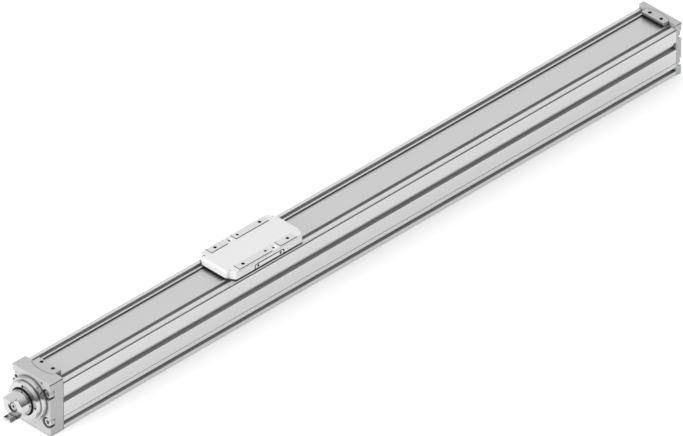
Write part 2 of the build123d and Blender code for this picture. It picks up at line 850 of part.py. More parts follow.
with BuildPart() as drive_flange:
    with BuildSketch(facing_drive_end(drive_face)):
        with Locations((0, axis_height)):
            Circle(flange_neck_diameter / 2)
    extrude(amount=flange_neck_length)
    with BuildSketch(facing_drive_end(drive_face - flange_neck_length)):
        with Locations((0, axis_height)):
            Circle(flange_ring_diameter / 2)
    extrude(amount=flange_ring_length)
    chamfer(drive_flange.edges().group_by(Axis.X)[0], flange_ring_edge)
    with BuildSketch(facing_drive_end(ring_front)):
        with Locations((0, axis_height)):
            Circle(flange_nose_diameter / 2)
    extrude(amount=ring_front - flange_face)
    chamfer(drive_flange.edges().group_by(Axis.X)[0], flange_edge)
    with BuildSketch(Plane.YZ.offset(drive_face)):
        with Locations((0, axis_height)):
            Circle(flange_spigot_diameter / 2)
    extrude(amount=housing_depth - flange_spigot_gap)
    with BuildSketch(Plane.YZ.offset(flange_face)):
        with Locations((0, axis_height)):
            Circle(flange_bore_diameter / 2)
    extrude(amount=flange_length - flange_web, mode=Mode.SUBTRACT)
    with BuildSketch(Plane.YZ.offset(flange_face)):
        with Locations((0, axis_height)):
            Circle(flange_web_hole_diameter / 2)
    extrude(amount=flange_length + housing_depth, mode=Mode.SUBTRACT)
    with BuildSketch(Plane.YZ.offset(flange_face)):
        with Locations((0, axis_height)):
            with PolarLocations(flange_hole_pcd / 2, 4):
                Circle(flange_hole_diameter / 2)
    extrude(amount=flange_hole_depth, mode=Mode.SUBTRACT)
drive_flange.part.label = "drive_flange"
export_step(drive_flange.part, "parts/drive_flange.step")


# Bearings: a pair that holds the spindle at the drive end, one that floats at the far end

fixed_bearing_starts = (bearing_start, bearing_start + fixed_bearing_width)
fixed_ring_length = fixed_bearing_width - ring_face_gap
fixed_inner_radius = drive_journal_radius + ring_thickness
fixed_outer_radius = fixed_bearing_radius - ring_thickness
end_inner_radius = end_journal_radius + ring_thickness
end_outer_radius = end_bearing_radius - ring_thickness

with BuildPart() as fixed_bearing_outer_rings:
    for start in fixed_bearing_starts:
        add(turned_ring(start, fixed_ring_length, fixed_outer_radius, fixed_bearing_radius, ring_edge))
fixed_bearing_outer_rings.part.label = "fixed_bearing_outer_rings"
export_step(fixed_bearing_outer_rings.part, "parts/fixed_bearing_outer_rings.step")

with BuildPart() as fixed_bearing_inner_rings:
    for start in fixed_bearing_starts:
        add(turned_ring(
            start,
            fixed_ring_length,
            drive_journal_radius + fit_gap,
            fixed_inner_radius,
            ring_edge,
        ))
fixed_bearing_inner_rings.part.label = "fixed_bearing_inner_rings"
export_step(fixed_bearing_inner_rings.part, "parts/fixed_bearing_inner_rings.step")

with BuildPart() as fixed_bearing_cages:
    for start in fixed_bearing_starts:
        add(turned_ring(
            start + cage_inset,
            fixed_ring_length - 2 * cage_inset,
            fixed_inner_radius + cage_gap,
            fixed_outer_radius - cage_gap,
            ring_edge,
        ))
fixed_bearing_cages.part.label = "fixed_bearing_cages"
export_step(fixed_bearing_cages.part, "parts/fixed_bearing_cages.step")

with BuildPart() as floating_bearing_outer_ring:
    add(turned_ring(
        end_bearing_start,
        end_bearing_width,
        end_outer_radius,
        end_bearing_radius,
        ring_edge,
    ))
floating_bearing_outer_ring.part.label = "floating_bearing_outer_ring"
export_step(floating_bearing_outer_ring.part, "parts/floating_bearing_outer_ring.step")

with BuildPart() as floating_bearing_inner_ring:
    add(turned_ring(
        end_bearing_start,
        end_bearing_width,
        end_journal_radius + fit_gap,
        end_inner_radius,
        ring_edge,
    ))
floating_bearing_inner_ring.part.label = "floating_bearing_inner_ring"
export_step(floating_bearing_inner_ring.part, "parts/floating_bearing_inner_ring.step")

with BuildPart() as floating_bearing_cage:
    add(turned_ring(
        end_bearing_start + cage_inset,
        end_bearing_width - 2 * cage_inset,
        end_inner_radius + cage_gap,
        end_outer_radius - cage_gap,
        ring_edge,
    ))
floating_bearing_cage.part.label = "floating_bearing_cage"
export_step(floating_bearing_cage.part, "parts/floating_bearing_cage.step")


# Ball screw with turned journals

journal_end = drive_face - screw_overhang
far_journal_end = end_bearing_end + end_journal_reach

with BuildPart() as ball_screw:
    with BuildSketch(Plane.YZ.offset(journal_end)):
        with Locations((0, axis_height)):
            Circle(drive_journal_radius)
    extrude(amount=bearing_end - journal_end)
    with BuildSketch(Plane.YZ.offset(bearing_end)):
        with Locations((0, axis_height)):
            Circle(screw_radius)
    extrude(amount=end_bearing_start - bearing_end)
    with BuildSketch(Plane.YZ.offset(end_bearing_start)):
        with Locations((0, axis_height)):
            Circle(end_journal_radius)
    extrude(amount=far_journal_end - end_bearing_start)
    chamfer(ball_screw.edges().group_by(Axis.X)[0], journal_edge)
    chamfer(ball_screw.edges().group_by(Axis.X)[-1], journal_edge)
    with BuildSketch(Plane.YZ.offset(journal_end)):
        with Locations((0, axis_height)):
            Circle(centre_hole_radius)
    extrude(amount=centre_hole_depth, mode=Mode.SUBTRACT)
ball_screw.part.label = "ball_screw"
export_step(ball_screw.part, "parts/ball_screw.step")

with BuildPart() as lock_nut:
    with BuildSketch(Plane.YZ.offset(bearing_start - lock_nut_width)):
        with Locations((0, axis_height)):
            Circle(lock_nut_diameter / 2)
            Circle(drive_journal_radius + fit_gap, mode=Mode.SUBTRACT)
            with PolarLocations(lock_nut_diameter / 2, 4):
                Rectangle(2 * lock_nut_slot_depth, lock_nut_slot, mode=Mode.SUBTRACT)
    extrude(amount=lock_nut_width)
lock_nut.part.label = "lock_nut"
export_step(lock_nut.part, "parts/lock_nut.step")

with BuildPart() as retaining_ring:
    with BuildSketch(Plane.YZ.offset(end_bearing_end)):
        with Locations((0, axis_height)):
            Circle(retaining_ring_diameter / 2)
            Circle(end_journal_radius + fit_gap, mode=Mode.SUBTRACT)
        with Locations((0, axis_height)):
            Rectangle(
                retaining_ring_mouth,
                retaining_ring_diameter,
                align=(Align.CENTER, Align.MAX),
                mode=Mode.SUBTRACT,
            )
    extrude(amount=retaining_ring_width)
retaining_ring.part.label = "retaining_ring"
export_step(retaining_ring.part, "parts/retaining_ring.step")


# Coupling hub: a split hub clamped on the journal, with two jaws for the motor's half

hub_screw_x = hub_back - hub_screw_inset
jaw_root = hub_face + 2 * hub_edge
hub_screw_plane = Plane(
    origin=(hub_screw_x, hub_screw_across, axis_height - hub_screw_seat),
    x_dir=(1, 0, 0),
    z_dir=(0, 0, -1),
)

with BuildPart() as coupling_hub:
    with BuildSketch(facing_drive_end(hub_back)):
        with Locations((0, axis_height)):
            Circle(hub_radius)
    extrude(amount=hub_base_length)
    chamfer(coupling_hub.edges().filter_by(GeomType.CIRCLE), hub_edge)
    with BuildSketch(Plane(origin=(jaw_root, 0, axis_height), x_dir=(0, -1, 0), z_dir=(-1, 0, 0))):
        with BuildLine():
            outer_arc = CenterArc((0, 0), hub_radius, 90 - jaw_half_angle, 2 * jaw_half_angle)
            inner_arc = CenterArc((0, 0), hub_radius - jaw_thickness, 90 - jaw_half_angle, 2 * jaw_half_angle)
            Line(outer_arc @ 0, inner_arc @ 0)
            Line(outer_arc @ 1, inner_arc @ 1)
        make_face()
        mirror(about=Plane.XZ)
    extrude(amount=jaw_root - hub_face + jaw_length)
    with BuildSketch(facing_drive_end(hub_back)):
        with Locations((0, axis_height)):
            Circle(drive_journal_radius + fit_gap)
    extrude(amount=hub_base_length, mode=Mode.SUBTRACT)
    with BuildSketch(facing_drive_end(hub_face + hub_mouth_depth)):
        with Locations((0, axis_height)):
            Circle(hub_mouth_diameter / 2)
    extrude(amount=hub_mouth_depth, mode=Mode.SUBTRACT)
    with BuildSketch(Plane(origin=(hub_back, 0, axis_height), x_dir=(1, 0, 0), z_dir=(0, 0, 1))):
        Rectangle(hub_slit_length, hub_radius + hub_edge, align=(Align.MAX, Align.MIN))
    extrude(amount=hub_slit / 2, both=True, mode=Mode.SUBTRACT)
    with BuildSketch(hub_screw_plane):
        Circle(small_pocket_radius)
    extrude(amount=hub_radius, mode=Mode.SUBTRACT)
    with BuildSketch(hub_screw_plane):
        Circle(small_screw_radius)
    extrude(amount=-(hub_screw_length + hole_gap), mode=Mode.SUBTRACT)
coupling_hub.part.label = "coupling_hub"
export_step(coupling_hub.part, "parts/coupling_hub.step")

with BuildPart() as hub_clamp_screw:
    add(socket_screws(
        hub_screw_plane,
        [(0, 0)],
        small_head_radius,
        small_head_height,
        small_shank_radius,
        hub_screw_length,
        small_socket,
    ))
hub_clamp_screw.part.label = "hub_clamp_screw"
export_step(hub_clamp_screw.part, "parts/hub_clamp_screw.step")


# Slide: a table above the band, two legs through the running slots, and a block that
# holds the ball nut and stands on the runner

long_pad_length = pad_end + pad_gap_near
long_pad_middle = (pad_end - pad_gap_near) / 2
short_pad_length = pad_end - pad_gap_far
short_pad_middle = (pad_end + pad_gap_far) / 2
pad_middle = (pad_inner + pad_outer) / 2
pad_width = pad_outer - pad_inner
body_notch = nose_back - cover_gap
notch_half_width = nose_half_width + cover_gap
side_face = Plane(
    origin=(slide_x, -slide_half_width, plate_bottom),
    x_dir=(1, 0, 0),
    z_dir=(0, -1, 0),
)
block_bottom = runner_top
nut_bore_depth = nut_seat_length + running_gap

with BuildPart() as slide_body:
    with BuildSketch(slide_level(plate_bottom)) as slide_plan:
        with BuildLine():
            Polyline(
                (-body_notch, 0),
                (-body_notch, notch_half_width),
                (-slide_shoulder_half_length, notch_half_width),
                (-slide_corner_half_length, slide_half_width),
                (slide_corner_half_length, slide_half_width),
                (slide_shoulder_half_length, notch_half_width),
                (body_notch, notch_half_width),
                (body_notch, 0),
            )
            mirror(about=Plane.XZ)
        make_face()
        fillet(slide_plan.vertices().group_by(Axis.Y)[-1], slide_corner_radius)
        fillet(slide_plan.vertices().group_by(Axis.Y)[0], slide_corner_radius)
    extrude(amount=slide_plate_thickness)
    slide_rim = [
        e
        for e in slide_body.edges().group_by(Axis.Z)[-1]
        if abs(e.center().Y) > notch_half_width + slide_edge
    ]
    chamfer(slide_rim, slide_edge)
    with BuildSketch(slide_level(plate_top)):
        for side in (-1, 1):
            with Locations((side * long_pad_middle, side * pad_middle)):
                Rectangle(long_pad_length, pad_width)
            with Locations((-side * short_pad_middle, side * pad_middle)):
                Rectangle(short_pad_length, pad_width)
    extrude(amount=pad_height)
    with BuildSketch(slide_level(cover_bottom)):
        Rectangle(2 * slide_nose_half_length, 2 * (cover_half_width + cover_gap))
    extrude(amount=cover_thickness, mode=Mode.SUBTRACT)
    with BuildSketch(slide_level(tie_top)):
        for side in (-1, 1):
            with Locations((0, side * (leg_inner + leg_outer) / 2)):
                Rectangle(2 * leg_half_length, leg_outer - leg_inner)
    extrude(amount=plate_bottom - tie_top)
    with BuildSketch(slide_level(tie_bottom)):
        Rectangle(2 * leg_half_length, 2 * leg_outer)
    extrude(amount=tie_top - tie_bottom)
    with BuildSketch(slide_level(block_bottom)):
        Rectangle(2 * block_half_length, 2 * block_half_width)
    extrude(amount=tie_bottom - block_bottom)
    with BuildSketch(slide_level(pad_top)):
        with GridLocations(hole_pitch, 2 * hole_across, 2, 2):
            Circle(table_hole_radius)
        with GridLocations(1, 2 * hole_across, 1, 2):
            Circle(middle_hole_radius)
    extrude(amount=-table_hole_depth, mode=Mode.SUBTRACT)
    with BuildSketch(slide_level(plate_top)):
        with Locations((centring_along, -hole_across), (-centring_along, hole_across)):
            Circle(centring_radius)
    extrude(amount=-centring_depth, mode=Mode.SUBTRACT)
    with BuildSketch(slide_level(plate_top)):
        with Locations((centring_along, -hole_across), (-centring_along, hole_across)):
            Circle(centring_pilot_radius)
    extrude(amount=-centring_pilot_depth, mode=Mode.SUBTRACT)
    with BuildSketch(Plane.YZ.offset(nut_seat_x)):
        with Locations((0, axis_height)):
            Circle(nut_diameter / 2 + fit_gap)
    extrude(amount=nut_bore_depth, mode=Mode.SUBTRACT)
    with BuildSketch(Plane.YZ.offset(nut_seat_x)):
        with Locations((0, axis_height)):
            Circle(screw_radius + screw_clearance)
    extrude(amount=2 * block_half_length, mode=Mode.SUBTRACT)
    with BuildSketch(Plane.YZ.offset(nut_seat_x)):
        with Locations((0, axis_height)):
            with PolarLocations(nut_screw_pcd / 2, 4, start_angle=45):
                Circle(small_screw_radius)
    extrude(amount=nut_screw_grip + hole_gap, mode=Mode.SUBTRACT)
    with BuildSketch(slide_level(runner_top + runner_screw_seat)):
        with GridLocations(runner_hole_pitch, runner_hole_pitch, 2, 2):
            Circle(small_pocket_radius)
    extrude(amount=cover_bottom - runner_top - runner_screw_seat, mode=Mode.SUBTRACT)
    with BuildSketch(slide_level(block_bottom)):
        with GridLocations(runner_hole_pitch, runner_hole_pitch, 2, 2):
            Circle(small_hole_radius)
    extrude(amount=runner_screw_seat, mode=Mode.SUBTRACT)
    with BuildSketch(side_face):
        add(side_plate_outline(side_plate_gap))
    extrude(amount=-side_plate_thickness, mode=Mode.SUBTRACT)
    with BuildSketch(side_face):
        with Locations((-side_screw_along, side_plate_height / 2), (side_screw_along, side_plate_height / 2)):
            Circle(side_screw_radius)
    extrude(amount=-(side_screw_length + hole_gap), mode=Mode.SUBTRACT)
slide_body.part.label = "slide_body"
export_step(slide_body.part, "parts/slide_body.step")

with BuildPart() as slide_cover:
    with BuildSketch(slide_level(nose_bottom)):
        for sign in (-1, 1):
            add(nose_outline(sign))
    extrude(amount=plate_top - nose_bottom)
    nose_rim = [
        e
        for e in slide_cover.edges().group_by(Axis.Z)[-1]
        if abs(e.center().X - slide_x) > nose_back + cover_gap
    ]
    fillet(nose_rim, nose_edge_radius)
    with BuildSketch(slide_level(cover_bottom)):
        Rectangle(2 * nose_back, 2 * cover_half_width)
    extrude(amount=cover_thickness)
slide_cover.part.label = "slide_cover"
export_step(slide_cover.part, "parts/slide_cover.step")

with BuildPart() as side_plate:
    with BuildSketch(side_face.offset(-side_plate_thickness)):
        add(side_plate_outline(0))
    extrude(amount=side_plate_thickness)
    with Locations(side_face):
        with Locations((-side_screw_along, side_plate_height / 2), (side_screw_along, side_plate_height / 2)):
            CounterBoreHole(
                side_screw_radius + hole_gap,
                side_screw_head_radius + hole_gap,
                side_screw_head_height,
                side_plate_thickness,
            )
side_plate.part.label = "side_plate"
export_step(side_plate.part, "parts/side_plate.step")

with BuildPart() as side_plate_screws:
    add(socket_screws(
        side_face.offset(-side_screw_head_height),
        [(-side_screw_along, side_plate_height / 2), (side_screw_along, side_plate_height / 2)],
        side_screw_head_radius,
        side_screw_head_height,
        side_screw_radius - thread_gap,
        side_screw_length - side_screw_head_height,
        side_screw_socket,
    ))
side_plate_screws.part.label = "side_plate_screws"
export_step(side_plate_screws.part, "parts/side_plate_screws.step")

wiper_bottom = strip_top + wiper_gap
with BuildPart() as band_wipers:
    with BuildSketch(slide_level(wiper_bottom)):
        for sign in (-1, 1):
            with Locations((sign * (body_notch - wiper_length / 2), 0)):
                Rectangle(wiper_length, 2 * (strip_half - wiper_gap))
    extrude(amount=plate_bottom - wiper_bottom)
band_wipers.part.label = "band_wipers"
export_step(band_wipers.part, "parts/band_wipers.step")


# Runner of the linear guide, with its end pieces

runner_bottom = floor_thickness + runner_lift
runner_half = runner_length / 2

with BuildPart() as runner_block:
    with BuildSketch(Plane.YZ.offset(slide_x - runner_half)):
        with Locations((0, runner_bottom)):
            Rectangle(runner_width, runner_top - runner_bottom, align=(Align.CENTER, Align.MIN))
            Rectangle(
                rail_width + 2 * guide_gap,
                rail_top + guide_gap - runner_bottom,
                align=(Align.CENTER, Align.MIN),
                mode=Mode.SUBTRACT,
            )
    extrude(amount=runner_length)
    with BuildSketch(slide_level(runner_top)):
        with GridLocations(runner_hole_pitch, runner_hole_pitch, 2, 2):
            Circle(small_screw_radius)
    extrude(amount=-(runner_screw_length - runner_screw_seat + hole_gap), mode=Mode.SUBTRACT)
runner_block.part.label = "runner_block"
export_step(runner_block.part, "parts/runner_block.step")

with BuildPart() as runner_end_caps:
    for start in (slide_x - runner_half - runner_end_length, slide_x + runner_half):
        with BuildSketch(Plane.YZ.offset(start)):
            with Locations((0, runner_bottom + runner_end_inset)):
                Rectangle(
                    runner_width - 2 * runner_end_inset,
                    runner_top - runner_bottom - 2 * runner_end_inset,
                    align=(Align.CENTER, Align.MIN),
                )
                Rectangle(
                    rail_width + 2 * guide_gap,
                    rail_top + guide_gap - runner_bottom - runner_end_inset,
                    align=(Align.CENTER, Align.MIN),
                    mode=Mode.SUBTRACT,
                )
        extrude(amount=runner_end_length)
runner_end_caps.part.label = "runner_end_caps"
export_step(runner_end_caps.part, "parts/runner_end_caps.step")

with BuildPart() as runner_screws:
    with GridLocations(runner_hole_pitch, runner_hole_pitch, 2, 2) as runner_grid:
        runner_places = [(place.position.X, place.position.Y) for place in runner_grid.locations]
    add(socket_screws(
        slide_level(runner_top + runner_screw_seat),
        runner_places,
        small_head_radius,
        small_head_height,
        small_shank_radius,
        runner_screw_length,
        small_socket,
    ))
runner_screws.part.label = "runner_screws"
export_step(runner_screws.part, "parts/runner_screws.step")


# Ball nut, flanged to the slide's block

nut_flange_front = nut_seat_x - nut_flange_thickness

with BuildPart() as ball_nut:
    with BuildSketch(Plane.YZ.offset(nut_flange_front)):
        with Locations((0, axis_height)):
            Circle(nut_flange_diameter / 2)
    extrude(amount=nut_flange_thickness)
    chamfer(ball_nut.edges().filter_by(GeomType.CIRCLE), nut_edge)
    with BuildSketch(Plane.YZ.offset(nut_seat_x)):
        with Locations((0, axis_height)):
            Circle(nut_diameter / 2)
    extrude(amount=nut_seat_length)
    with BuildSketch(Plane.YZ.offset(nut_flange_front)):
        with Locations((0, axis_height)):
            Circle(nut_snout_diameter / 2)
    extrude(amount=-nut_snout_length)
    with BuildSketch(Plane.YZ.offset(nut_flange_front - nut_snout_length)):
        with Locations((0, axis_height)):
            Circle(screw_radius + running_gap)
    extrude(amount=nut_snout_length + nut_flange_thickness + nut_seat_length, mode=Mode.SUBTRACT)
    with BuildSketch(Plane.YZ.offset(nut_flange_front)):
        with Locations((0, axis_height)):
            with PolarLocations(nut_screw_pcd / 2, 4, start_angle=45):
                Circle(small_hole_radius)
    extrude(amount=nut_flange_thickness, mode=Mode.SUBTRACT)
ball_nut.part.label = "ball_nut"
export_step(ball_nut.part, "parts/ball_nut.step")

with BuildPart() as nut_screws:
    with PolarLocations(nut_screw_pcd / 2, 4, start_angle=45) as nut_circle:
        nut_screw_places = [
            (place.position.X, axis_height + place.position.Y) for place in nut_circle.locations
        ]
    add(socket_screws(
        facing_drive_end(nut_flange_front),
        nut_screw_places,
        small_head_radius,
        small_head_height,
        small_shank_radius,
        nut_flange_thickness + nut_screw_grip,
        small_socket,
    ))
nut_screws.part.label = "nut_screws"
export_step(nut_screws.part, "parts/nut_screws.step")
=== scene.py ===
import json
import math
import bmesh
import bpy
from mathutils import Matrix, Vector


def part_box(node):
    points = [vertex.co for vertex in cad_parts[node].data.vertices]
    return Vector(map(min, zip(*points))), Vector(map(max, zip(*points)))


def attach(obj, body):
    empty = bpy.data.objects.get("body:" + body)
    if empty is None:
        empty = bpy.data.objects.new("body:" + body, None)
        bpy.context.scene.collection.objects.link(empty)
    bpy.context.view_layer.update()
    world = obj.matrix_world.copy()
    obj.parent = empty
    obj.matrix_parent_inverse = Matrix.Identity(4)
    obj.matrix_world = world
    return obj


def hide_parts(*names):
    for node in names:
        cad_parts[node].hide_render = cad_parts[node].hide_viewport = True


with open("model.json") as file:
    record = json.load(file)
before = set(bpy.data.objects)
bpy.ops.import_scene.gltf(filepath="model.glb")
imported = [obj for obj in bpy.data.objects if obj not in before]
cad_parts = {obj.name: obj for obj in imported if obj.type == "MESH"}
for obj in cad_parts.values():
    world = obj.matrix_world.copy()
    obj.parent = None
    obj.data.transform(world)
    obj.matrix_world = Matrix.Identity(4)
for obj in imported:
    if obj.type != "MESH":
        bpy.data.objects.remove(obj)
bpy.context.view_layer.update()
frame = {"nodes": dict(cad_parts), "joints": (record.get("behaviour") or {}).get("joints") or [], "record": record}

mm = 0.001
scene = bpy.context.scene
nodes = frame["nodes"]
mounts = {mount["name"]: mount for mount in frame["record"]["mounts"]}
slideMiddle = mounts["slide_m5_holes"]["pos_m"][0]
spindleJoint = next(joint for joint in frame["joints"] if joint["name"] == "spindle_spin")
spindlePoint = Vector((0, 0, spindleJoint["pos_m"][2]))
print("frame loaded with", len(nodes), "nodes")


# Helpers for the materials

colourA, colourB = 6, 7   # sockets of a Mix node that mixes colours
waveRate = 20             # the wave texture's own factor on distances


def linear(hexColour):
    channels = [int(hexColour[i:i + 2], 16) / 255 for i in (1, 3, 5)]
    return [c / 12.92 if c <= 0.04045 else ((c + 0.055) / 1.055) ** 2.4 for c in channels] + [1.0]


def addNode(tree, kind, values=None, links=None, **settings):
    node = tree.nodes.new(kind)
    for key, value in settings.items():
        setattr(node, key, value)
    for socket, value in (values or {}).items():
        node.inputs[socket].default_value = value
    for socket, source in (links or {}).items():
        tree.links.new(source, node.inputs[socket])
    return node


def newMaterial(name):
    material = bpy.data.materials.new(name)
    material.use_nodes = True
    tree = material.node_tree
    tree.nodes.clear()
    shader = addNode(tree, "ShaderNodeBsdfPrincipled")
    addNode(tree, "ShaderNodeOutputMaterial", links={"Surface": shader.outputs[0]})
    return material, tree, shader


def objectPoints(tree, grain, centre=(0, 0, 0)):
    # Object coordinates with one unit per grain, whose size is in millimetres on X, Y and Z
    place = addNode(tree, "ShaderNodeTexCoord")
    scale = [1 / (size * mm) for size in grain]
    shift = [-c * s for c, s in zip(centre, scale)]
    return addNode(tree, "ShaderNodeMapping", values={"Location": shift, "Scale": scale},
                   links={"Vector": place.outputs["Object"]}).outputs[0]


padMilling = {"below": 0.3, "blend": 0.1, "tint": 0.88}


def milledTint(tree):
    # Darkens the milled tops of the slide's pads, which are all that lies so high
    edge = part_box("slide_body")[1].z - padMilling["below"] * mm
    blend = padMilling["blend"] * mm
    place = addNode(tree, "ShaderNodeTexCoord")
    height = addNode(tree, "ShaderNodeSeparateXYZ", links={"Vector": place.outputs["Object"]})
    return addNode(tree, "ShaderNodeMapRange", links={"Value": height.outputs["Z"]},
                   values={"From Min": edge - blend, "From Max": edge + blend,
                           "To Min": 1.0, "To Max": padMilling["tint"]}).outputs[0]


# Painted shade: grooves and corners narrower than the reach, in millimetres, are darker, as ambient
# occlusion finds shade there: the colour is whole from the full openness up, and only its crease-shade share from
# depth down
creases = {"reach": 3.5, "samples": 8, "full": 0.88, "depth": 0.16, "creaseShade": 0.12}


def dress(tree, shader, pattern, look):
    # The pattern varies the colour, the roughness and the height of the surface a little
    colour = addNode(tree, "ShaderNodeMix", data_type="RGBA", links={0: pattern},
                     values={colourA: linear(look["dark"]), colourB: linear(look["light"])})
    if look.get("milledPads"):
        colour = addNode(tree, "ShaderNodeMix", data_type="RGBA", blend_type="MULTIPLY", values={0: 1.0},
                         links={colourA: colour.outputs[2], colourB: milledTint(tree)})
    # Painted shade in creases and corners, from ambient occlusion
    openness = addNode(tree, "ShaderNodeAmbientOcclusion", samples=creases["samples"],
                       values={"Distance": creases["reach"] * mm})
    creaseShadeTint = addNode(tree, "ShaderNodeMapRange", links={"Value": openness.outputs["AO"]},
                    values={"From Min": creases["depth"], "From Max": creases["full"],
                            "To Min": look.get("creaseShade", creases["creaseShade"]), "To Max": 1.0})
    colour = addNode(tree, "ShaderNodeMix", data_type="RGBA", blend_type="MULTIPLY", values={0: 1.0},
                     links={colourA: colour.outputs[2], colourB: creaseShadeTint.outputs[0]})
    rough = addNode(tree, "ShaderNodeMapRange", links={"Value": pattern},
                    values={"To Min": look["roughness"][0], "To Max": look["roughness"][1]})
    bump = addNode(tree, "ShaderNodeBump", links={"Height": pattern},
                   values={"Strength": look["bump"], "Distance": look["height"] * mm})
    tree.links.new(colour.outputs[2], shader.inputs["Base Color"])
    tree.links.new(rough.outputs[0], shader.inputs["Roughness"])
    tree.links.new(bump.outputs[0], shader.inputs["Normal"])
    shader.inputs["Metallic"].default_value = look["metallic"]
    if "specular" in look:
        shader.inputs["Specular IOR Level"].default_value = look["specular"]


# Looks of the real finishes, with the grain's size on X, Y and Z and its height in millimetres.
# Real blasting, rolling and grinding marks are far finer, so they are drawn coarser to show

looks = {
    # Drawn through a die and anodised: satin grey with very faint die lines along the length
    "ExtrudedAnodisedAluminium": {
        "dark": "#D2D2D2", "light": "#DBDBDB", "roughness": (0.36, 0.46), "metallic": 0.9,
        "creaseShade": 0.4, "bump": 0.06, "height": 0.02, "grain": (420.0, 1.4, 1.4), "detail": 3.0},
    # Sawn plate, milled and anodised: flat grey with a fine even grain, coarser than real
    "MilledAnodisedAluminium": {
        "dark": "#BABABA", "light": "#C3C3C3", "roughness": (0.42, 0.52), "metallic": 0.25,
        "bump": 0.08, "height": 0.02, "grain": (0.7, 0.7, 0.7), "detail": 2.0},
    # Glass-blasted before anodising: nearly white and matt, and a little darker on the milled
    # pads. The beads' marks of about 0.1 are drawn at 0.5
    "BlastedAnodisedAluminium": {
        "dark": "#E8E8E8", "light": "#F0F0F0", "roughness": (0.46, 0.56), "metallic": 0.15,
        "milledPads": True, "bump": 0.08, "height": 0.02, "grain": (0.5, 0.5, 0.5), "detail": 2.0},
    # Cold-rolled stainless strip: soft grey with rolling lines along the length, wider than real
    "RolledStainlessStrip": {
        "dark": "#C6C6C6", "light": "#D1D1D1", "roughness": (0.30, 0.42), "metallic": 0.8,
        "bump": 0.05, "height": 0.01, "grain": (160.0, 0.6, 0.6), "detail": 3.0},
    # Bright turned steel: sharp reflections, and rings round the spindle from the lathe's feed,
    # which is drawn at 0.6 though a real one is nearer 0.15
    "TurnedSteel": {
        "dark": "#C6C6C6", "light": "#D6D6D6", "roughness": (0.11, 0.19), "metallic": 1.0,
        "creaseShade": 0.15, "bump": 0.06, "height": 0.01, "feed": 0.6, "waver": 0.4, "detail": 1.0},
    # Hardened and ground: grey and smooth, with grinding marks across the length, wider than real
    "GroundSteel": {
        "dark": "#A9ABAD", "light": "#BDBFC1", "roughness": (0.16, 0.28), "metallic": 1.0,
        "bump": 0.06, "height": 0.01, "grain": (0.5, 12.0, 12.0), "detail": 2.0},
    # Lapped bearing steel: dark mirror grey
    "BearingSteel": {
        "dark": "#9C9EA1", "light": "#A9ABAE", "roughness": (0.08, 0.14), "metallic": 1.0,
        "bump": 0.02, "height": 0.005, "grain": (0.6, 0.6, 0.6), "detail": 2.0},
    # Bright zinc plating: silver with a slight cool cast and soft mottling
    "ZincPlatedSteel": {
        "dark": "#C6C7C8", "light": "#D8D9DA", "roughness": (0.24, 0.36), "metallic": 0.7,
        "creaseShade": 0.3, "bump": 0.05, "height": 0.01, "grain": (0.9, 0.9, 0.9), "detail": 3.0},
    # Black oxide on small screws and inserts: near black with an oily sheen. The same black paints shade in the
    # seats' small holes
    "BlackenedSteel": {
        "dark": "#17181A", "light": "#242527", "roughness": (0.34, 0.46), "metallic": 0.7,
        "bump": 0.05, "height": 0.01, "grain": (0.6, 0.6, 0.6), "detail": 2.0},
    # Machined after anodising: bare, and so evenly lit that it looks white, without painted crease shade
    "BareAluminium": {
        "dark": "#F6F6F6", "light": "#FEFEFE", "roughness": (0.35, 0.45), "metallic": 0.0,
        "creaseShade": 1.0, "bump": 0.04, "height": 0.01, "grain": (0.4, 0.4, 0.4), "detail": 1.0},
    # Moulded nitrile rubber: black and matt with a slight skin. The same black also paints shade in the joint and
    # groove pieces further down
    "BlackRubber": {
        "dark": "#08080A", "light": "#101011", "roughness": (0.62, 0.78), "metallic": 0.0,
        "specular": 0.25, "bump": 0.12, "height": 0.03, "grain": (0.8, 0.8, 0.8), "detail": 4.0},
    # Mid grey and matt rubber: painted shade on the upper part of the band clamps' free faces
    "GreyShadeRubber": {
        "dark": "#666667", "light": "#707071", "roughness": (0.6, 0.75), "metallic": 0.0,
        "bump": 0.08, "height": 0.02, "grain": (0.8, 0.8, 0.8), "detail": 3.0},
    # Glass-filled polyamide, moulded: dark grey with faint flow marks
    "MouldedPolyamide": {
        "dark": "#2A2B2D", "light": "#36373A", "roughness": (0.42, 0.55), "metallic": 0.0,
        "bump": 0.08, "height": 0.02, "grain": (1.5, 1.5, 1.5), "detail": 4.0},
}


def grainedFinish(name):
    look = looks[name]
    material, tree, shader = newMaterial(name)
    grain = addNode(tree, "ShaderNodeTexNoise", values={"Scale": 1.0, "Detail": look["detail"]},
                    links={"Vector": objectPoints(tree, look["grain"])})
    dress(tree, shader, grain.outputs["Fac"], look)
    return material


def turnedFinish(name):
    # One ring for each turn of the lathe, round the spindle's line
    look = looks[name]
    material, tree, shader = newMaterial(name)
    points = objectPoints(tree, (look["feed"] * waveRate,) * 3, spindlePoint)
    rings = addNode(tree, "ShaderNodeTexWave", wave_type="RINGS", rings_direction="X",
                    values={"Scale": math.pi * 2, "Distortion": look["waver"], "Detail": look["detail"]},
                    links={"Vector": points})
    dress(tree, shader, rings.outputs["Fac"], look)
    return material


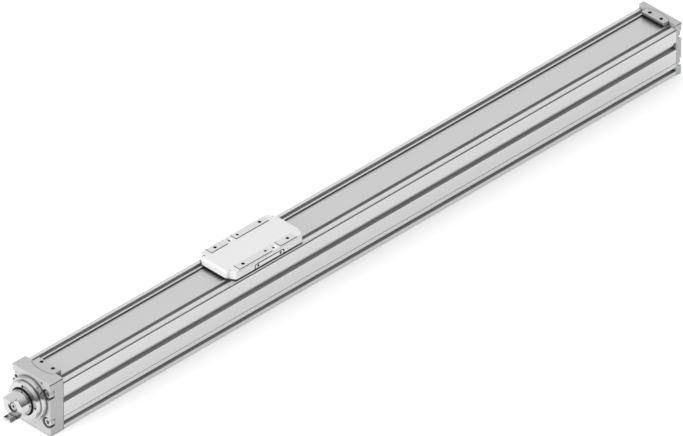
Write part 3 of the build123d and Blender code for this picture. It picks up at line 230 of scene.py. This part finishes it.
finishes = {
    "anodised_profile": grainedFinish("ExtrudedAnodisedAluminium"),
    "anodised_cap": grainedFinish("MilledAnodisedAluminium"),
    "anodised_slide": grainedFinish("BlastedAnodisedAluminium"),
    "steel_strip": grainedFinish("RolledStainlessStrip"),
    "turned_steel": turnedFinish("TurnedSteel"),
    "ground_steel": grainedFinish("GroundSteel"),
    "bearing_steel": grainedFinish("BearingSteel"),
    "zinc_screws": grainedFinish("ZincPlatedSteel"),
    "black_rubber": grainedFinish("BlackRubber"),
    "bearing_plastic": grainedFinish("MouldedPolyamide"),
}
blackScrewFinish = grainedFinish("BlackenedSteel")
seatFinish = grainedFinish("BareAluminium")
clampFaceShadeFinish = grainedFinish("GreyShadeRubber")

for node in nodes.values():
    for materialSlot in node.material_slots:
        materialSlot.material = finishes[materialSlot.material.name.split(".")[0]]
nodes["side_plate"].material_slots[0].material = seatFinish
nodes["side_plate_screws"].material_slots[0].material = blackScrewFinish
print("materials on all CAD nodes")


# Helpers for new pieces

# Each piece's dictionary gives its sizes in millimetres

tolerance = {"merge": 0.0005, "find": 0.01}


def pieceFrom(mesh, name, material, body):
    # The mesh as a finished piece that rides on a body
    bmesh.ops.remove_doubles(mesh, verts=mesh.verts[:], dist=tolerance["merge"] * mm)
    bmesh.ops.recalc_face_normals(mesh, faces=mesh.faces[:])
    data = bpy.data.meshes.new(name)
    mesh.to_mesh(data)
    mesh.free()
    data.materials.append(material)
    piece = bpy.data.objects.new(name, data)
    scene.collection.objects.link(piece)
    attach(piece, body)
    return piece


def joined(meshes):
    # Several meshes as one
    whole = bmesh.new()
    for mesh in meshes:
        part = bpy.data.meshes.new("part")
        mesh.to_mesh(part)
        mesh.free()
        whole.from_mesh(part)
        bpy.data.meshes.remove(part)
    return whole


def copiesAt(mesh, matrices):
    # The mesh, repeated at each place
    copies = []
    for matrix in matrices:
        copy = mesh.copy()
        bmesh.ops.transform(copy, matrix=matrix, verts=copy.verts[:])
        copies.append(copy)
    mesh.free()
    return joined(copies)


def facing(direction):
    # Turns Z towards the direction
    return Vector(direction).to_track_quat("Z", "Y").to_matrix().to_4x4()


def settle(mesh, axis, lowest):
    # Moves the mesh along one axis until its lowest point is there, in metres
    shift = Vector((0, 0, 0))
    shift[axis] = lowest - min(v.co[axis] for v in mesh.verts)
    bmesh.ops.translate(mesh, verts=mesh.verts[:], vec=shift)


def turnProfile(mesh, points, steps):
    # Turns an open or closed run of (radius, height) points, in millimetres, about Z
    verts = [mesh.verts.new((r * mm, 0, z * mm)) for r, z in points]
    edges = [mesh.edges.new(pair) for pair in zip(verts, verts[1:])]
    bmesh.ops.spin(mesh, geom=verts + edges, cent=(0, 0, 0), axis=(0, 0, 1), angle=2 * math.pi,
                   steps=steps, use_merge=True, use_duplicate=False)


def bar(place, size, edge):
    # Bar with softened edges round a place in metres, its size on X, Y and Z in millimetres
    mesh = bmesh.new()
    bmesh.ops.create_cube(mesh, size=1)
    bmesh.ops.scale(mesh, verts=mesh.verts[:], vec=[side * mm for side in size])
    bmesh.ops.bevel(mesh, geom=mesh.edges[:], offset=edge * mm, segments=2, profile=0.5,
                    affect="EDGES", material=-1)
    bmesh.ops.translate(mesh, verts=mesh.verts[:], vec=place)
    return mesh


def flatFrame(length, width, band, tall, corner=0):
    # Rectangular ring on XY with its inner edge at length by width, its upper two corners
    # rounded inside to the corner's radius
    mesh = bmesh.new()
    bmesh.ops.create_grid(mesh, x_segments=1, y_segments=1, size=0.5)
    bmesh.ops.scale(mesh, verts=mesh.verts[:], vec=((length + 2 * band) * mm, (width + 2 * band) * mm, 1))
    if corner:
        upper = [v for v in mesh.verts if v.co.y > 0]
        bmesh.ops.bevel(mesh, geom=upper, offset=(corner + band) * mm, segments=5, profile=0.5,
                        affect="VERTICES", material=-1)
    inner = mesh.faces[:]
    bmesh.ops.inset_region(mesh, faces=inner, thickness=band * mm, use_even_offset=True,
                           use_boundary=True)
    bmesh.ops.delete(mesh, geom=inner, context="FACES")
    bmesh.ops.solidify(mesh, geom=mesh.faces[:], thickness=tall * mm)
    return mesh


def loopAt(mesh, radius, height):
    # Edges of the ring that lies at one radius and height
    def onRing(vert):
        return (abs(vert.co.xy.length - radius * mm) < tolerance["find"] * mm
                and abs(vert.co.z - height * mm) < tolerance["find"] * mm)
    return [e for e in mesh.edges if onRing(e.verts[0]) and onRing(e.verts[1])]


def socketScrew(size):
    # One socket head screw along Z, its seat at the origin and its head upwards
    mesh = bmesh.new()
    head, tall, edge = size["headRadius"], size["headHeight"], size["edge"]
    shank, length = size["shankRadius"], size["shankLength"]
    hexagon = size["socket"] / math.sqrt(3)
    rim = hexagon + size["rim"]
    turnProfile(mesh, [(0, -length), (shank - edge, -length), (shank, edge - length), (shank, 0), (head, 0),
                       (head, tall - edge), (head - edge, tall), (rim, tall)], size["steps"])
    side = [v for v in mesh.verts
            if abs(v.co.xy.length - head * mm) < tolerance["find"] * mm
            and v.co.z > -tolerance["find"] * mm]
    for vert in side:   # every second line of the head's side is sunk, as knurling
        turn = round(math.atan2(vert.co.y, vert.co.x) / (2 * math.pi / size["steps"]))
        if turn % 2:
            vert.co.xy *= 1 - size["knurl"] / head
    socket = bmesh.ops.create_circle(mesh, segments=6, radius=hexagon * mm,
                                     matrix=Matrix.Translation((0, 0, tall * mm)))["verts"]
    mouth = list({e for v in socket for e in v.link_edges})
    bmesh.ops.bridge_loops(mesh, edges=loopAt(mesh, rim, tall) + mouth)
    deep = bmesh.ops.extrude_edge_only(mesh, edges=mouth)["geom"]
    bottom = [v for v in deep if isinstance(v, bmesh.types.BMVert)]
    bmesh.ops.translate(mesh, verts=bottom, vec=(0, 0, -size["socketDepth"] * mm))
    bmesh.ops.contextual_create(mesh, geom=bottom)
    return mesh


# Cap screws: knurled heads with hexagon sockets

capScrew = {"headRadius": 5.0, "shankRadius": 2.65, "edge": 0.45, "rim": 0.35, "knurl": 0.16,
            "socket": 5.0, "socketShare": 0.55, "steps": 72, "driveHead": 6.0, "endHead": 3.9}


def capScrews(name, node, outward, headHeight):
    low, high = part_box(node)
    head = capScrew["headRadius"] * mm
    seat = low.x + headHeight * mm if outward < 0 else high.x - headHeight * mm
    size = dict(capScrew, headHeight=headHeight, shankLength=(high.x - low.x) / mm - headHeight,
                socketDepth=headHeight * capScrew["socketShare"])
    places = [(seat, y, z) for y in (low.y + head, high.y - head) for z in (low.z + head, high.z - head)]
    mesh = copiesAt(socketScrew(size), [Matrix.Translation(p) @ facing((outward, 0, 0)) for p in places])
    piece = pieceFrom(mesh, name, finishes["zinc_screws"], "housing")
    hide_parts(node)


capScrews("drive_cap_screw_set", "drive_cap_screws", -1, capScrew["driveHead"])
capScrews("end_cap_screw_set", "end_cap_screws", 1, capScrew["endHead"])
print("cap screws")


# Band clamp screws: small, black, sunk in their counterbores

clampScrew = {"headRadius": 2.2, "headHeight": 2.5, "shankRadius": 1.2, "edge": 0.2, "rim": 0.2,
              "knurl": 0.07, "socket": 2.0, "socketDepth": 1.4, "steps": 48}


def clampScrews(name, node):
    low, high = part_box(node)
    head = clampScrew["headRadius"] * mm
    seat = high.z - clampScrew["headHeight"] * mm
    size = dict(clampScrew, shankLength=(high.z - low.z) / mm - clampScrew["headHeight"])
    places = [((low.x + high.x) / 2, y, seat) for y in (low.y + head, high.y - head)]
    mesh = copiesAt(socketScrew(size), [Matrix.Translation(p) for p in places])
    piece = pieceFrom(mesh, name, blackScrewFinish, "housing")
    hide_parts(node)


clampScrews("drive_clamp_screw_set", "drive_clamp_screws")
clampScrews("end_clamp_screw_set", "end_clamp_screws")
print("band clamp screws")


# Wire thread inserts in the slide's mounting holes, in blackened steel. Their black coils and collars are partly
# painted shade: they make the holes' mouths read black, as the shade inside them does

threadInsert = {"pitchM5": 0.8, "pitchM4": 0.7, "wire": 0.30, "turns": 8, "stepsPerTurn": 20, "start": 1.0,
                "wall": 0.3, "sunk": 0.03, "collar": 0.68}


def threadCoil(radius, pitch):
    # One coil of diamond wire under a short collar, in a hole whose mouth is at the origin
    mesh = bmesh.new()
    wire, start = threadInsert["wire"], threadInsert["start"]
    turns, steps = threadInsert["turns"], threadInsert["stepsPerTurn"]
    diamond = bmesh.ops.create_circle(mesh, segments=4, radius=wire * mm, cap_ends=True)["verts"]
    bmesh.ops.rotate(mesh, verts=diamond, matrix=Matrix.Rotation(math.pi / 2, 3, "X"))
    bmesh.ops.translate(mesh, verts=diamond, vec=((radius - wire) * mm, 0, -start * mm))
    bmesh.ops.spin(mesh, geom=mesh.faces[:], cent=(0, 0, 0), axis=(0, 0, 1), angle=2 * math.pi * turns,
                   steps=turns * steps, dvec=(0, 0, -pitch / steps * mm), use_merge=False,
                   use_duplicate=False)
    bore = radius - threadInsert["wall"]
    top, depth = -threadInsert["sunk"], -threadInsert["collar"]
    turnProfile(mesh, [(bore, depth), (radius, depth), (radius, top), (bore, top), (bore, depth)],
                steps * 2)
    return mesh


def threadInserts(name, mount, pitch):
    dims, centre = mount["dims"], Vector(mount["pos_m"])
    along = dims.get("spacing_x_mm", 0) / 2
    across = dims["spacing_y_mm"] / 2
    offsets = {(sx * along, sy * across, 0) for sx in (-1, 1) for sy in (-1, 1)}
    places = [Matrix.Translation(centre + Vector(offset) * mm) for offset in sorted(offsets)]
    mesh = copiesAt(threadCoil(dims["hole_r_mm"], pitch), places)
    pieceFrom(mesh, name, blackScrewFinish, "slide")


threadInserts("slide_m5_thread_inserts", mounts["slide_m5_holes"], threadInsert["pitchM5"])
threadInserts("slide_m4_thread_inserts", mounts["slide_m4_holes"], threadInsert["pitchM4"])
print("thread inserts")


# Centring seats in the slide: bright machined cups with a small hole in the floor

centringSeat = {"radius": 3.48, "pilot": 1.35, "depth": 1.58, "skin": 0.06, "along": 12.75, "across": 22.2,
                "steps": 64}


def seatPlaces():
    along, across = centringSeat["along"] * mm, centringSeat["across"] * mm
    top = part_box("slide_cover")[1].z
    return [Matrix.Translation((slideMiddle + s * along, -s * across, top)) for s in (-1, 1)]


def centringSeats():
    size = centringSeat
    outer, inner, pilot = size["radius"], size["radius"] - size["skin"], size["pilot"]
    below, floor = -size["depth"], size["skin"] - size["depth"]
    mesh = bmesh.new()
    turnProfile(mesh, [(pilot, below), (outer, below), (outer, 0), (inner, 0), (inner, floor),
                       (pilot, floor), (pilot, below)], size["steps"])
    pieceFrom(copiesAt(mesh, seatPlaces()), "centring_seats", seatFinish, "slide")


pilotShade = {"inner": 0.5, "outer": 1.33, "rim": 1.6, "depth": 1.0, "skin": 0.05, "steps": 32}


def pilotShadeSleeves():
    # Painted shade: black sleeves in the small holes in the floors of the seats, where the holes are in shadow
    size = pilotShade
    inner, outer, rim = size["inner"], size["outer"], size["rim"]
    floor = centringSeat["skin"] - centringSeat["depth"]
    top, bottom = floor + size["skin"], floor - size["depth"]
    mesh = bmesh.new()
    turnProfile(mesh, [(inner, bottom), (outer, bottom), (outer, floor), (rim, floor), (rim, top),
                       (inner, top), (inner, bottom)], size["steps"])
    pieceFrom(copiesAt(mesh, seatPlaces()), "pilot_shade_sleeves", blackScrewFinish, "slide")


centringSeats()
pilotShadeSleeves()
print("centring seats")


# Wipers: black rubber lips between the slide's noses and the cover band

wiperLip = {"inset": 0.2, "length": 3.2, "halfWidth": 17.3, "taper": 1.2, "edge": 0.2, "above": 0.3}


def wiperLips():
    size = wiperLip
    band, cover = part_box("band_wipers"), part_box("slide_cover")
    tall = band[1].z - band[0].z + size["above"] * mm
    middle = (cover[0].x + cover[1].x) / 2
    reach = (cover[1].x - cover[0].x) / 2 - size["inset"] * mm
    mesh = bmesh.new()
    bmesh.ops.create_cube(mesh, size=1)
    bmesh.ops.scale(mesh, verts=mesh.verts[:], vec=(size["length"] * mm, 2 * size["halfWidth"] * mm, tall))
    inner = [v for v in mesh.verts if v.co.z < 0 and v.co.x > 0]
    bmesh.ops.translate(mesh, verts=inner, vec=(-size["taper"] * mm, 0, 0))
    bmesh.ops.bevel(mesh, geom=mesh.edges[:], offset=size["edge"] * mm, segments=2, profile=0.5,
                    affect="EDGES", material=-1)
    bmesh.ops.translate(mesh, verts=mesh.verts[:], vec=(size["length"] * mm / 2 - reach, 0, 0))
    centre = Matrix.Translation((middle, 0, band[0].z + tall / 2))
    places = [centre @ Matrix.Rotation(turn, 4, "Z") for turn in (0, math.pi)]
    piece = pieceFrom(copiesAt(mesh, places), "wiper_lips", finishes["black_rubber"], "slide")
    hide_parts("band_wipers")


wiperLips()
print("wipers")


# Painted shade: black ring put in the gap between the coupling hub and the flange's bore, where there is only
# shade

boreShade = {"inner": 15.6, "outer": 16.75, "lip": 17.4, "proud": 0.15, "width": 2.4, "steps": 96}


def boreShadeRing():
    size = boreShade
    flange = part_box("drive_flange")
    inner, outer, lip = size["inner"], size["outer"], size["lip"]
    front, back = size["proud"], -size["width"]
    mesh = bmesh.new()
    turnProfile(mesh, [(inner, front), (lip, front), (lip, 0), (outer, 0), (outer, back), (inner, back),
                       (inner, front)], size["steps"])
    place = Matrix.Translation((flange[0].x, 0, spindlePoint.z)) @ facing((-1, 0, 0))
    bmesh.ops.transform(mesh, matrix=place, verts=mesh.verts[:])
    pieceFrom(mesh, "bore_shade_ring", finishes["black_rubber"], "housing")


boreShadeRing()
print("dust seal")


# Frames, bars and beads in the joints and grooves. The black and grey ones are painted shade where the joints and
# grooves fall in shadow

cornerFill = {"length": 2.5, "width": 2.0, "tall": 2.4, "top": 75.9, "edge": 0.6, "back": 0.1, "lap": 0.05}


def cornerFills():
    # Small blocks that close the grooves between the cover's rounded noses and the body
    size = cornerFill
    body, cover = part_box("slide_body"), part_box("slide_cover")
    z = (size["top"] - size["tall"] / 2) * mm
    blocks = []
    for end, inward in ((body[0].x, 1), (body[1].x, -1)):
        x = end + inward * (size["length"] / 2 + size["back"]) * mm
        for side in (-1, 1):
            y = side * (cover[1].y - (size["width"] / 2 - size["lap"]) * mm)
            blocks.append(bar((x, y, z), (size["length"], size["width"], size["tall"]), size["edge"]))
    pieceFrom(joined(blocks), "cover_corner_blocks", finishes["anodised_slide"], "slide")


padShadeFrame = {"end": 44.5, "near": 6.0, "far": 19.5, "inner": 17.8, "outer": 27.0, "band": 0.6, "tall": 0.12,
            "sunk": 0.02}


def padShadeFrames():
    # Painted shade: thin dark frame round each raised pad of the slide, where the pads' steps fall in shadow
    size = padShadeFrame
    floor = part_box("slide_cover")[1].z
    across, width = (size["inner"] + size["outer"]) / 2, size["outer"] - size["inner"]
    rims = []
    for side in (-1, 1):
        for start, end in ((-size["end"], size["near"]), (size["far"], size["end"])):
            rim = flatFrame(end - start, width, size["band"], size["tall"])
            x = slideMiddle - side * (start + end) / 2 * mm
            bmesh.ops.translate(rim, verts=rim.verts[:], vec=(x, side * across * mm, 0))
            settle(rim, 2, floor - size["sunk"] * mm)
            rims.append(rim)
    pieceFrom(joined(rims), "pad_shade_frames", finishes["black_rubber"], "slide")


plateShadeFrame = {"band": 1.1, "corner": 2.0, "depth": 0.8, "proud": 0.15}


def sidePlateShadeFrame():
    # Painted shade: black frame in the joint round the plate in the slide's side, where the joint falls in shadow
    size = plateShadeFrame
    low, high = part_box("side_plate")
    length, height = (high.x - low.x) / mm, (high.z - low.z) / mm
    mesh = flatFrame(length, height, size["band"], size["depth"], size["corner"])
    centre = Matrix.Translation(((low.x + high.x) / 2, 0, (low.z + high.z) / 2))
    upright = centre @ Matrix.Rotation(math.pi / 2, 4, "X")
    bmesh.ops.transform(mesh, matrix=upright, verts=mesh.verts[:])
    settle(mesh, 1, low.y - size["proud"] * mm)
    pieceFrom(mesh, "side_plate_shade_frame", finishes["black_rubber"], "slide")


sideWiper = {"length": 104.0, "width": 1.6, "inset": 0.15, "clear": 0.2, "edge": 0.2}


def sideWipers():
    # Rubber strips under the slide's long sides, just clear of the profile's lips
    size = sideWiper
    low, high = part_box("slide_body")
    under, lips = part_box("side_plate")[0].z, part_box("profile")[1].z
    tall = (under - lips) / mm - size["clear"]
    x, z = (low.x + high.x) / 2, under - tall / 2 * mm
    strips = []
    for side in (-1, 1):
        y = side * (high.y - (size["inset"] + size["width"] / 2) * mm)
        strips.append(bar((x, y, z), (size["length"], size["width"], tall), size["edge"]))
    pieceFrom(joined(strips), "side_wipers", finishes["black_rubber"], "slide")


capGrooveShade = {"driveLength": 21.0, "endLength": 8.5, "recess": 0.2, "depth": 0.5, "drop": 1.0,
               "tall": 1.15, "edge": 0.1}


def capGrooveShadeStrips():
    # Painted shade: dark strips in the grooves under the top faces of both caps, where the grooves fall in shadow
    size = capGrooveShade
    driveCap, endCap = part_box("drive_cap"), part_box("end_cap")
    ends = [(driveCap[0].x, driveCap[0].x + size["driveLength"] * mm),
            (endCap[1].x - size["endLength"] * mm, endCap[1].x)]
    strips = []
    for (start, end), (low, high) in zip(ends, (driveCap, endCap)):
        length = (end - start) / mm - 2 * size["edge"]
        for side in (-1, 1):
            y = side * (high.y - (size["recess"] + size["depth"] / 2) * mm)
            place = ((start + end) / 2, y, high.z - size["drop"] * mm)
            strips.append(bar(place, (length, size["depth"], size["tall"]), size["edge"]))
    pieceFrom(joined(strips), "cap_groove_shade_strips", finishes["black_rubber"], "housing")


ribShadeCord = {"across": 17.475, "width": 0.25, "tall": 0.8, "edge": 0.05}


def ribShadeCords():
    # Painted shade: dark cords along the inner sides of the cover band's ribs, where the ribs cast shade
    size = ribShadeCord
    start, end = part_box("drive_band_clamp")[1].x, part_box("end_band_clamp")[0].x
    x, z = (start + end) / 2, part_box("drive_band_clamp")[0].z + size["tall"] / 2 * mm
    cords = [bar((x, side * size["across"] * mm, z), ((end - start) / mm, size["width"], size["tall"]),
                 size["edge"]) for side in (-1, 1)]
    pieceFrom(joined(cords), "rib_shade_cords", finishes["black_rubber"], "housing")


bandSkirt = {"outer": 19.7, "thick": 0.3, "drop": 5.0, "edge": 0.08, "inset": 6.0}


def bandSkirts():
    # Folded edges of the cover band, which hang into the running slots
    size = bandSkirt
    low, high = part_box("cover_band")
    length = (high.x - low.x) / mm - 2 * size["inset"]
    x, z = (low.x + high.x) / 2, low.z - size["drop"] / 2 * mm
    across = (size["outer"] - size["thick"] / 2) * mm
    skirts = [bar((x, side * across, z), (length, size["thick"], size["drop"]), size["edge"])
              for side in (-1, 1)]
    pieceFrom(joined(skirts), "band_skirts", finishes["steel_strip"], "housing")


fineGrooveShade = {"height": 16.9, "width": 0.45, "depth": 0.3, "sunk": 0.1, "short": 0.4, "edge": 0.05}


def fineGrooveShadeCords():
    # Painted shade: dark cords in the fine grooves along the sides of the profile, where the grooves fall in
    # shadow
    size = fineGrooveShade
    low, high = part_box("profile")
    length = (high.x - low.x) / mm - size["short"]
    x, z = (low.x + high.x) / 2, size["height"] * mm
    across = high.y - (size["sunk"] + size["depth"] / 2) * mm
    cords = [bar((x, side * across, z), (length, size["depth"], size["width"]), size["edge"])
             for side in (-1, 1)]
    pieceFrom(joined(cords), "fine_groove_shade_cords", finishes["black_rubber"], "housing")


clampArc = {"radius": 42.0, "width": 0.45, "tall": 0.3, "proud": 0.04, "steps": 40}


def clampArcShade():
    # Painted shade: dark bead in the round joint between the drive clamp and its cap, where the step falls in
    # shadow
    size = clampArc
    low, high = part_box("drive_band_clamp")
    half = math.asin((high.y - low.y) / 2 / (size["radius"] * mm))
    mesh = bmesh.new()
    bmesh.ops.create_grid(mesh, x_segments=1, y_segments=1, size=0.5)
    bmesh.ops.scale(mesh, verts=mesh.verts[:], vec=(size["width"] * mm, size["tall"] * mm, 1))
    bmesh.ops.rotate(mesh, verts=mesh.verts[:], matrix=Matrix.Rotation(math.pi / 2, 3, "X"))
    bmesh.ops.translate(mesh, verts=mesh.verts[:], vec=(-(size["radius"] + size["width"] / 2) * mm, 0, 0))
    bmesh.ops.rotate(mesh, verts=mesh.verts[:], matrix=Matrix.Rotation(-half, 3, "Z"))
    bmesh.ops.spin(mesh, geom=mesh.faces[:], cent=(0, 0, 0), axis=(0, 0, 1), angle=2 * half,
                   steps=size["steps"], use_merge=False, use_duplicate=False)
    bmesh.ops.translate(mesh, verts=mesh.verts[:], vec=(low.x + size["radius"] * mm, 0, 0))
    settle(mesh, 2, high.z + (size["proud"] - size["tall"]) * mm)
    pieceFrom(mesh, "clamp_arc_shade", finishes["black_rubber"], "housing")


clampShadeBar = {"length": 1.2, "inset": 0.4, "edge": 0.2}
clampGapShade = {"base": 0.0, "tall": 3.4, "proud": 0.5}
clampFaceShade = {"base": 3.4, "tall": 2.7, "proud": 0.2}


def clampShadeBars(name, material, level):
    # Painted shade: bars along the free edges of the band clamps, from a height above the band. The black one
    # stands in for the shade in the gap under each clamp, and the grey one for the shade on its face
    size = clampShadeBar
    bars = []
    for node, edge, outward in (("drive_band_clamp", 1, 1), ("end_band_clamp", 0, -1)):
        low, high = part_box(node)
        width = (high.y - low.y) / mm - 2 * size["inset"]
        x = (low, high)[edge].x + outward * (level["proud"] - size["length"] / 2) * mm
        z = low.z + (level["base"] + level["tall"] / 2) * mm
        bars.append(bar((x, 0, z), (size["length"], width, level["tall"]), size["edge"]))
    pieceFrom(joined(bars), name, material, "housing")


cornerFills()
padShadeFrames()
sidePlateShadeFrame()
sideWipers()
capGrooveShadeStrips()
ribShadeCords()
bandSkirts()
fineGrooveShadeCords()
clampArcShade()
clampShadeBars("band_clamp_gap_shade", finishes["black_rubber"], clampGapShade)
clampShadeBars("band_clamp_face_shade", clampFaceShadeFinish, clampFaceShade)
print("joints and seals")


# Stage: pale floor that glows a little as a light table does, one soft light, and the world.
# Floor and light are in metres, and only the floor's drop under the part is in millimetres

stageLook = {"floorSize": 40.0, "floorDrop": 0.2, "floorColour": "#F4F4F4", "floorRoughness": 0.9,
             "floorGlow": 0.36, "brightSide": (0.3, 0.55, 0.78), "rampStart": -0.25, "rampEnd": 0.8,
             "worldDark": 0.18, "worldBright": 1.03}
keyLight = {"place": (-5.8, 0.6, 2.0), "size": 3.0, "power": 200}


def paleFloor():
    mesh = bmesh.new()
    bmesh.ops.create_grid(mesh, x_segments=1, y_segments=1, size=stageLook["floorSize"] / 2)
    bmesh.ops.translate(mesh, verts=mesh.verts[:], vec=(0, 0, -stageLook["floorDrop"] * mm))
    data = bpy.data.meshes.new("floor")
    mesh.to_mesh(data)
    mesh.free()
    material, tree, shader = newMaterial("PalePaper")
    shader.inputs["Base Color"].default_value = linear(stageLook["floorColour"])
    shader.inputs["Roughness"].default_value = stageLook["floorRoughness"]
    shader.inputs["Emission Color"].default_value = linear("#FFFFFF")
    shader.inputs["Emission Strength"].default_value = stageLook["floorGlow"]
    data.materials.append(material)
    floor = bpy.data.objects.new("floor", data)
    scene.collection.objects.link(floor)


def softLight():
    light = bpy.data.lights.new("keyLight", "AREA")
    light.shape = "DISK"
    light.size = keyLight["size"]
    light.energy = keyLight["power"]
    lamp = bpy.data.objects.new("keyLight", light)
    lamp.location = keyLight["place"]
    lamp.rotation_euler = (-Vector(keyLight["place"])).to_track_quat("-Z", "Y").to_euler()
    scene.collection.objects.link(lamp)


def studioWorld():
    # Bright overhead and behind, and dark in front, as a light tent open towards the camera
    world = bpy.data.worlds.new("studio")
    world.use_nodes = True
    scene.world = world
    tree = world.node_tree
    tree.nodes.clear()
    place = addNode(tree, "ShaderNodeTexCoord")
    towards = addNode(tree, "ShaderNodeVectorMath", operation="DOT_PRODUCT",
                      values={1: Vector(stageLook["brightSide"]).normalized()},
                      links={0: place.outputs["Generated"]})
    strength = addNode(tree, "ShaderNodeMapRange", interpolation_type="SMOOTHSTEP",
                       values={"From Min": stageLook["rampStart"], "From Max": stageLook["rampEnd"],
                               "To Min": stageLook["worldDark"], "To Max": stageLook["worldBright"]},
                       links={"Value": towards.outputs["Value"]})
    sky = addNode(tree, "ShaderNodeBackground", values={"Color": linear("#FFFFFF")},
                  links={"Strength": strength.outputs[0]})
    addNode(tree, "ShaderNodeOutputWorld", links={"Surface": sky.outputs[0]})


paleFloor()
studioWorld()
softLight()
scene.view_settings.view_transform = "Standard"
print("floor, light and world")


# Camera: a long lens from the drive end, front and above. Angles in degrees, sizes in
# millimetres, clipping in metres

cameraView = {"aim": (-8.97, 7.26, 32.55), "azimuth": -44.964, "elevation": 35.128, "roll": -0.034,
              "distance": 19083.0, "lens": 894.4, "sensor": 36.0, "nearClip": 1.0, "farClip": 60.0}


def placeCamera():
    view = cameraView
    azimuth, elevation = math.radians(view["azimuth"]), math.radians(view["elevation"])
    back = Vector((math.sin(azimuth) * math.cos(elevation), -math.cos(azimuth) * math.cos(elevation),
                   math.sin(elevation)))
    roll = Matrix.Rotation(math.radians(view["roll"]), 3, "Z")
    data = bpy.data.cameras.new("camera")
    data.sensor_width = view["sensor"]
    data.lens = view["lens"]
    data.clip_start = view["nearClip"]
    data.clip_end = view["farClip"]
    camera = bpy.data.objects.new("camera", data)
    camera.location = Vector(view["aim"]) * mm + back * view["distance"] * mm
    camera.rotation_euler = ((-back).to_track_quat("-Z", "Y").to_matrix() @ roll).to_euler()
    scene.collection.objects.link(camera)
    scene.camera = camera


placeCamera()
print("camera")
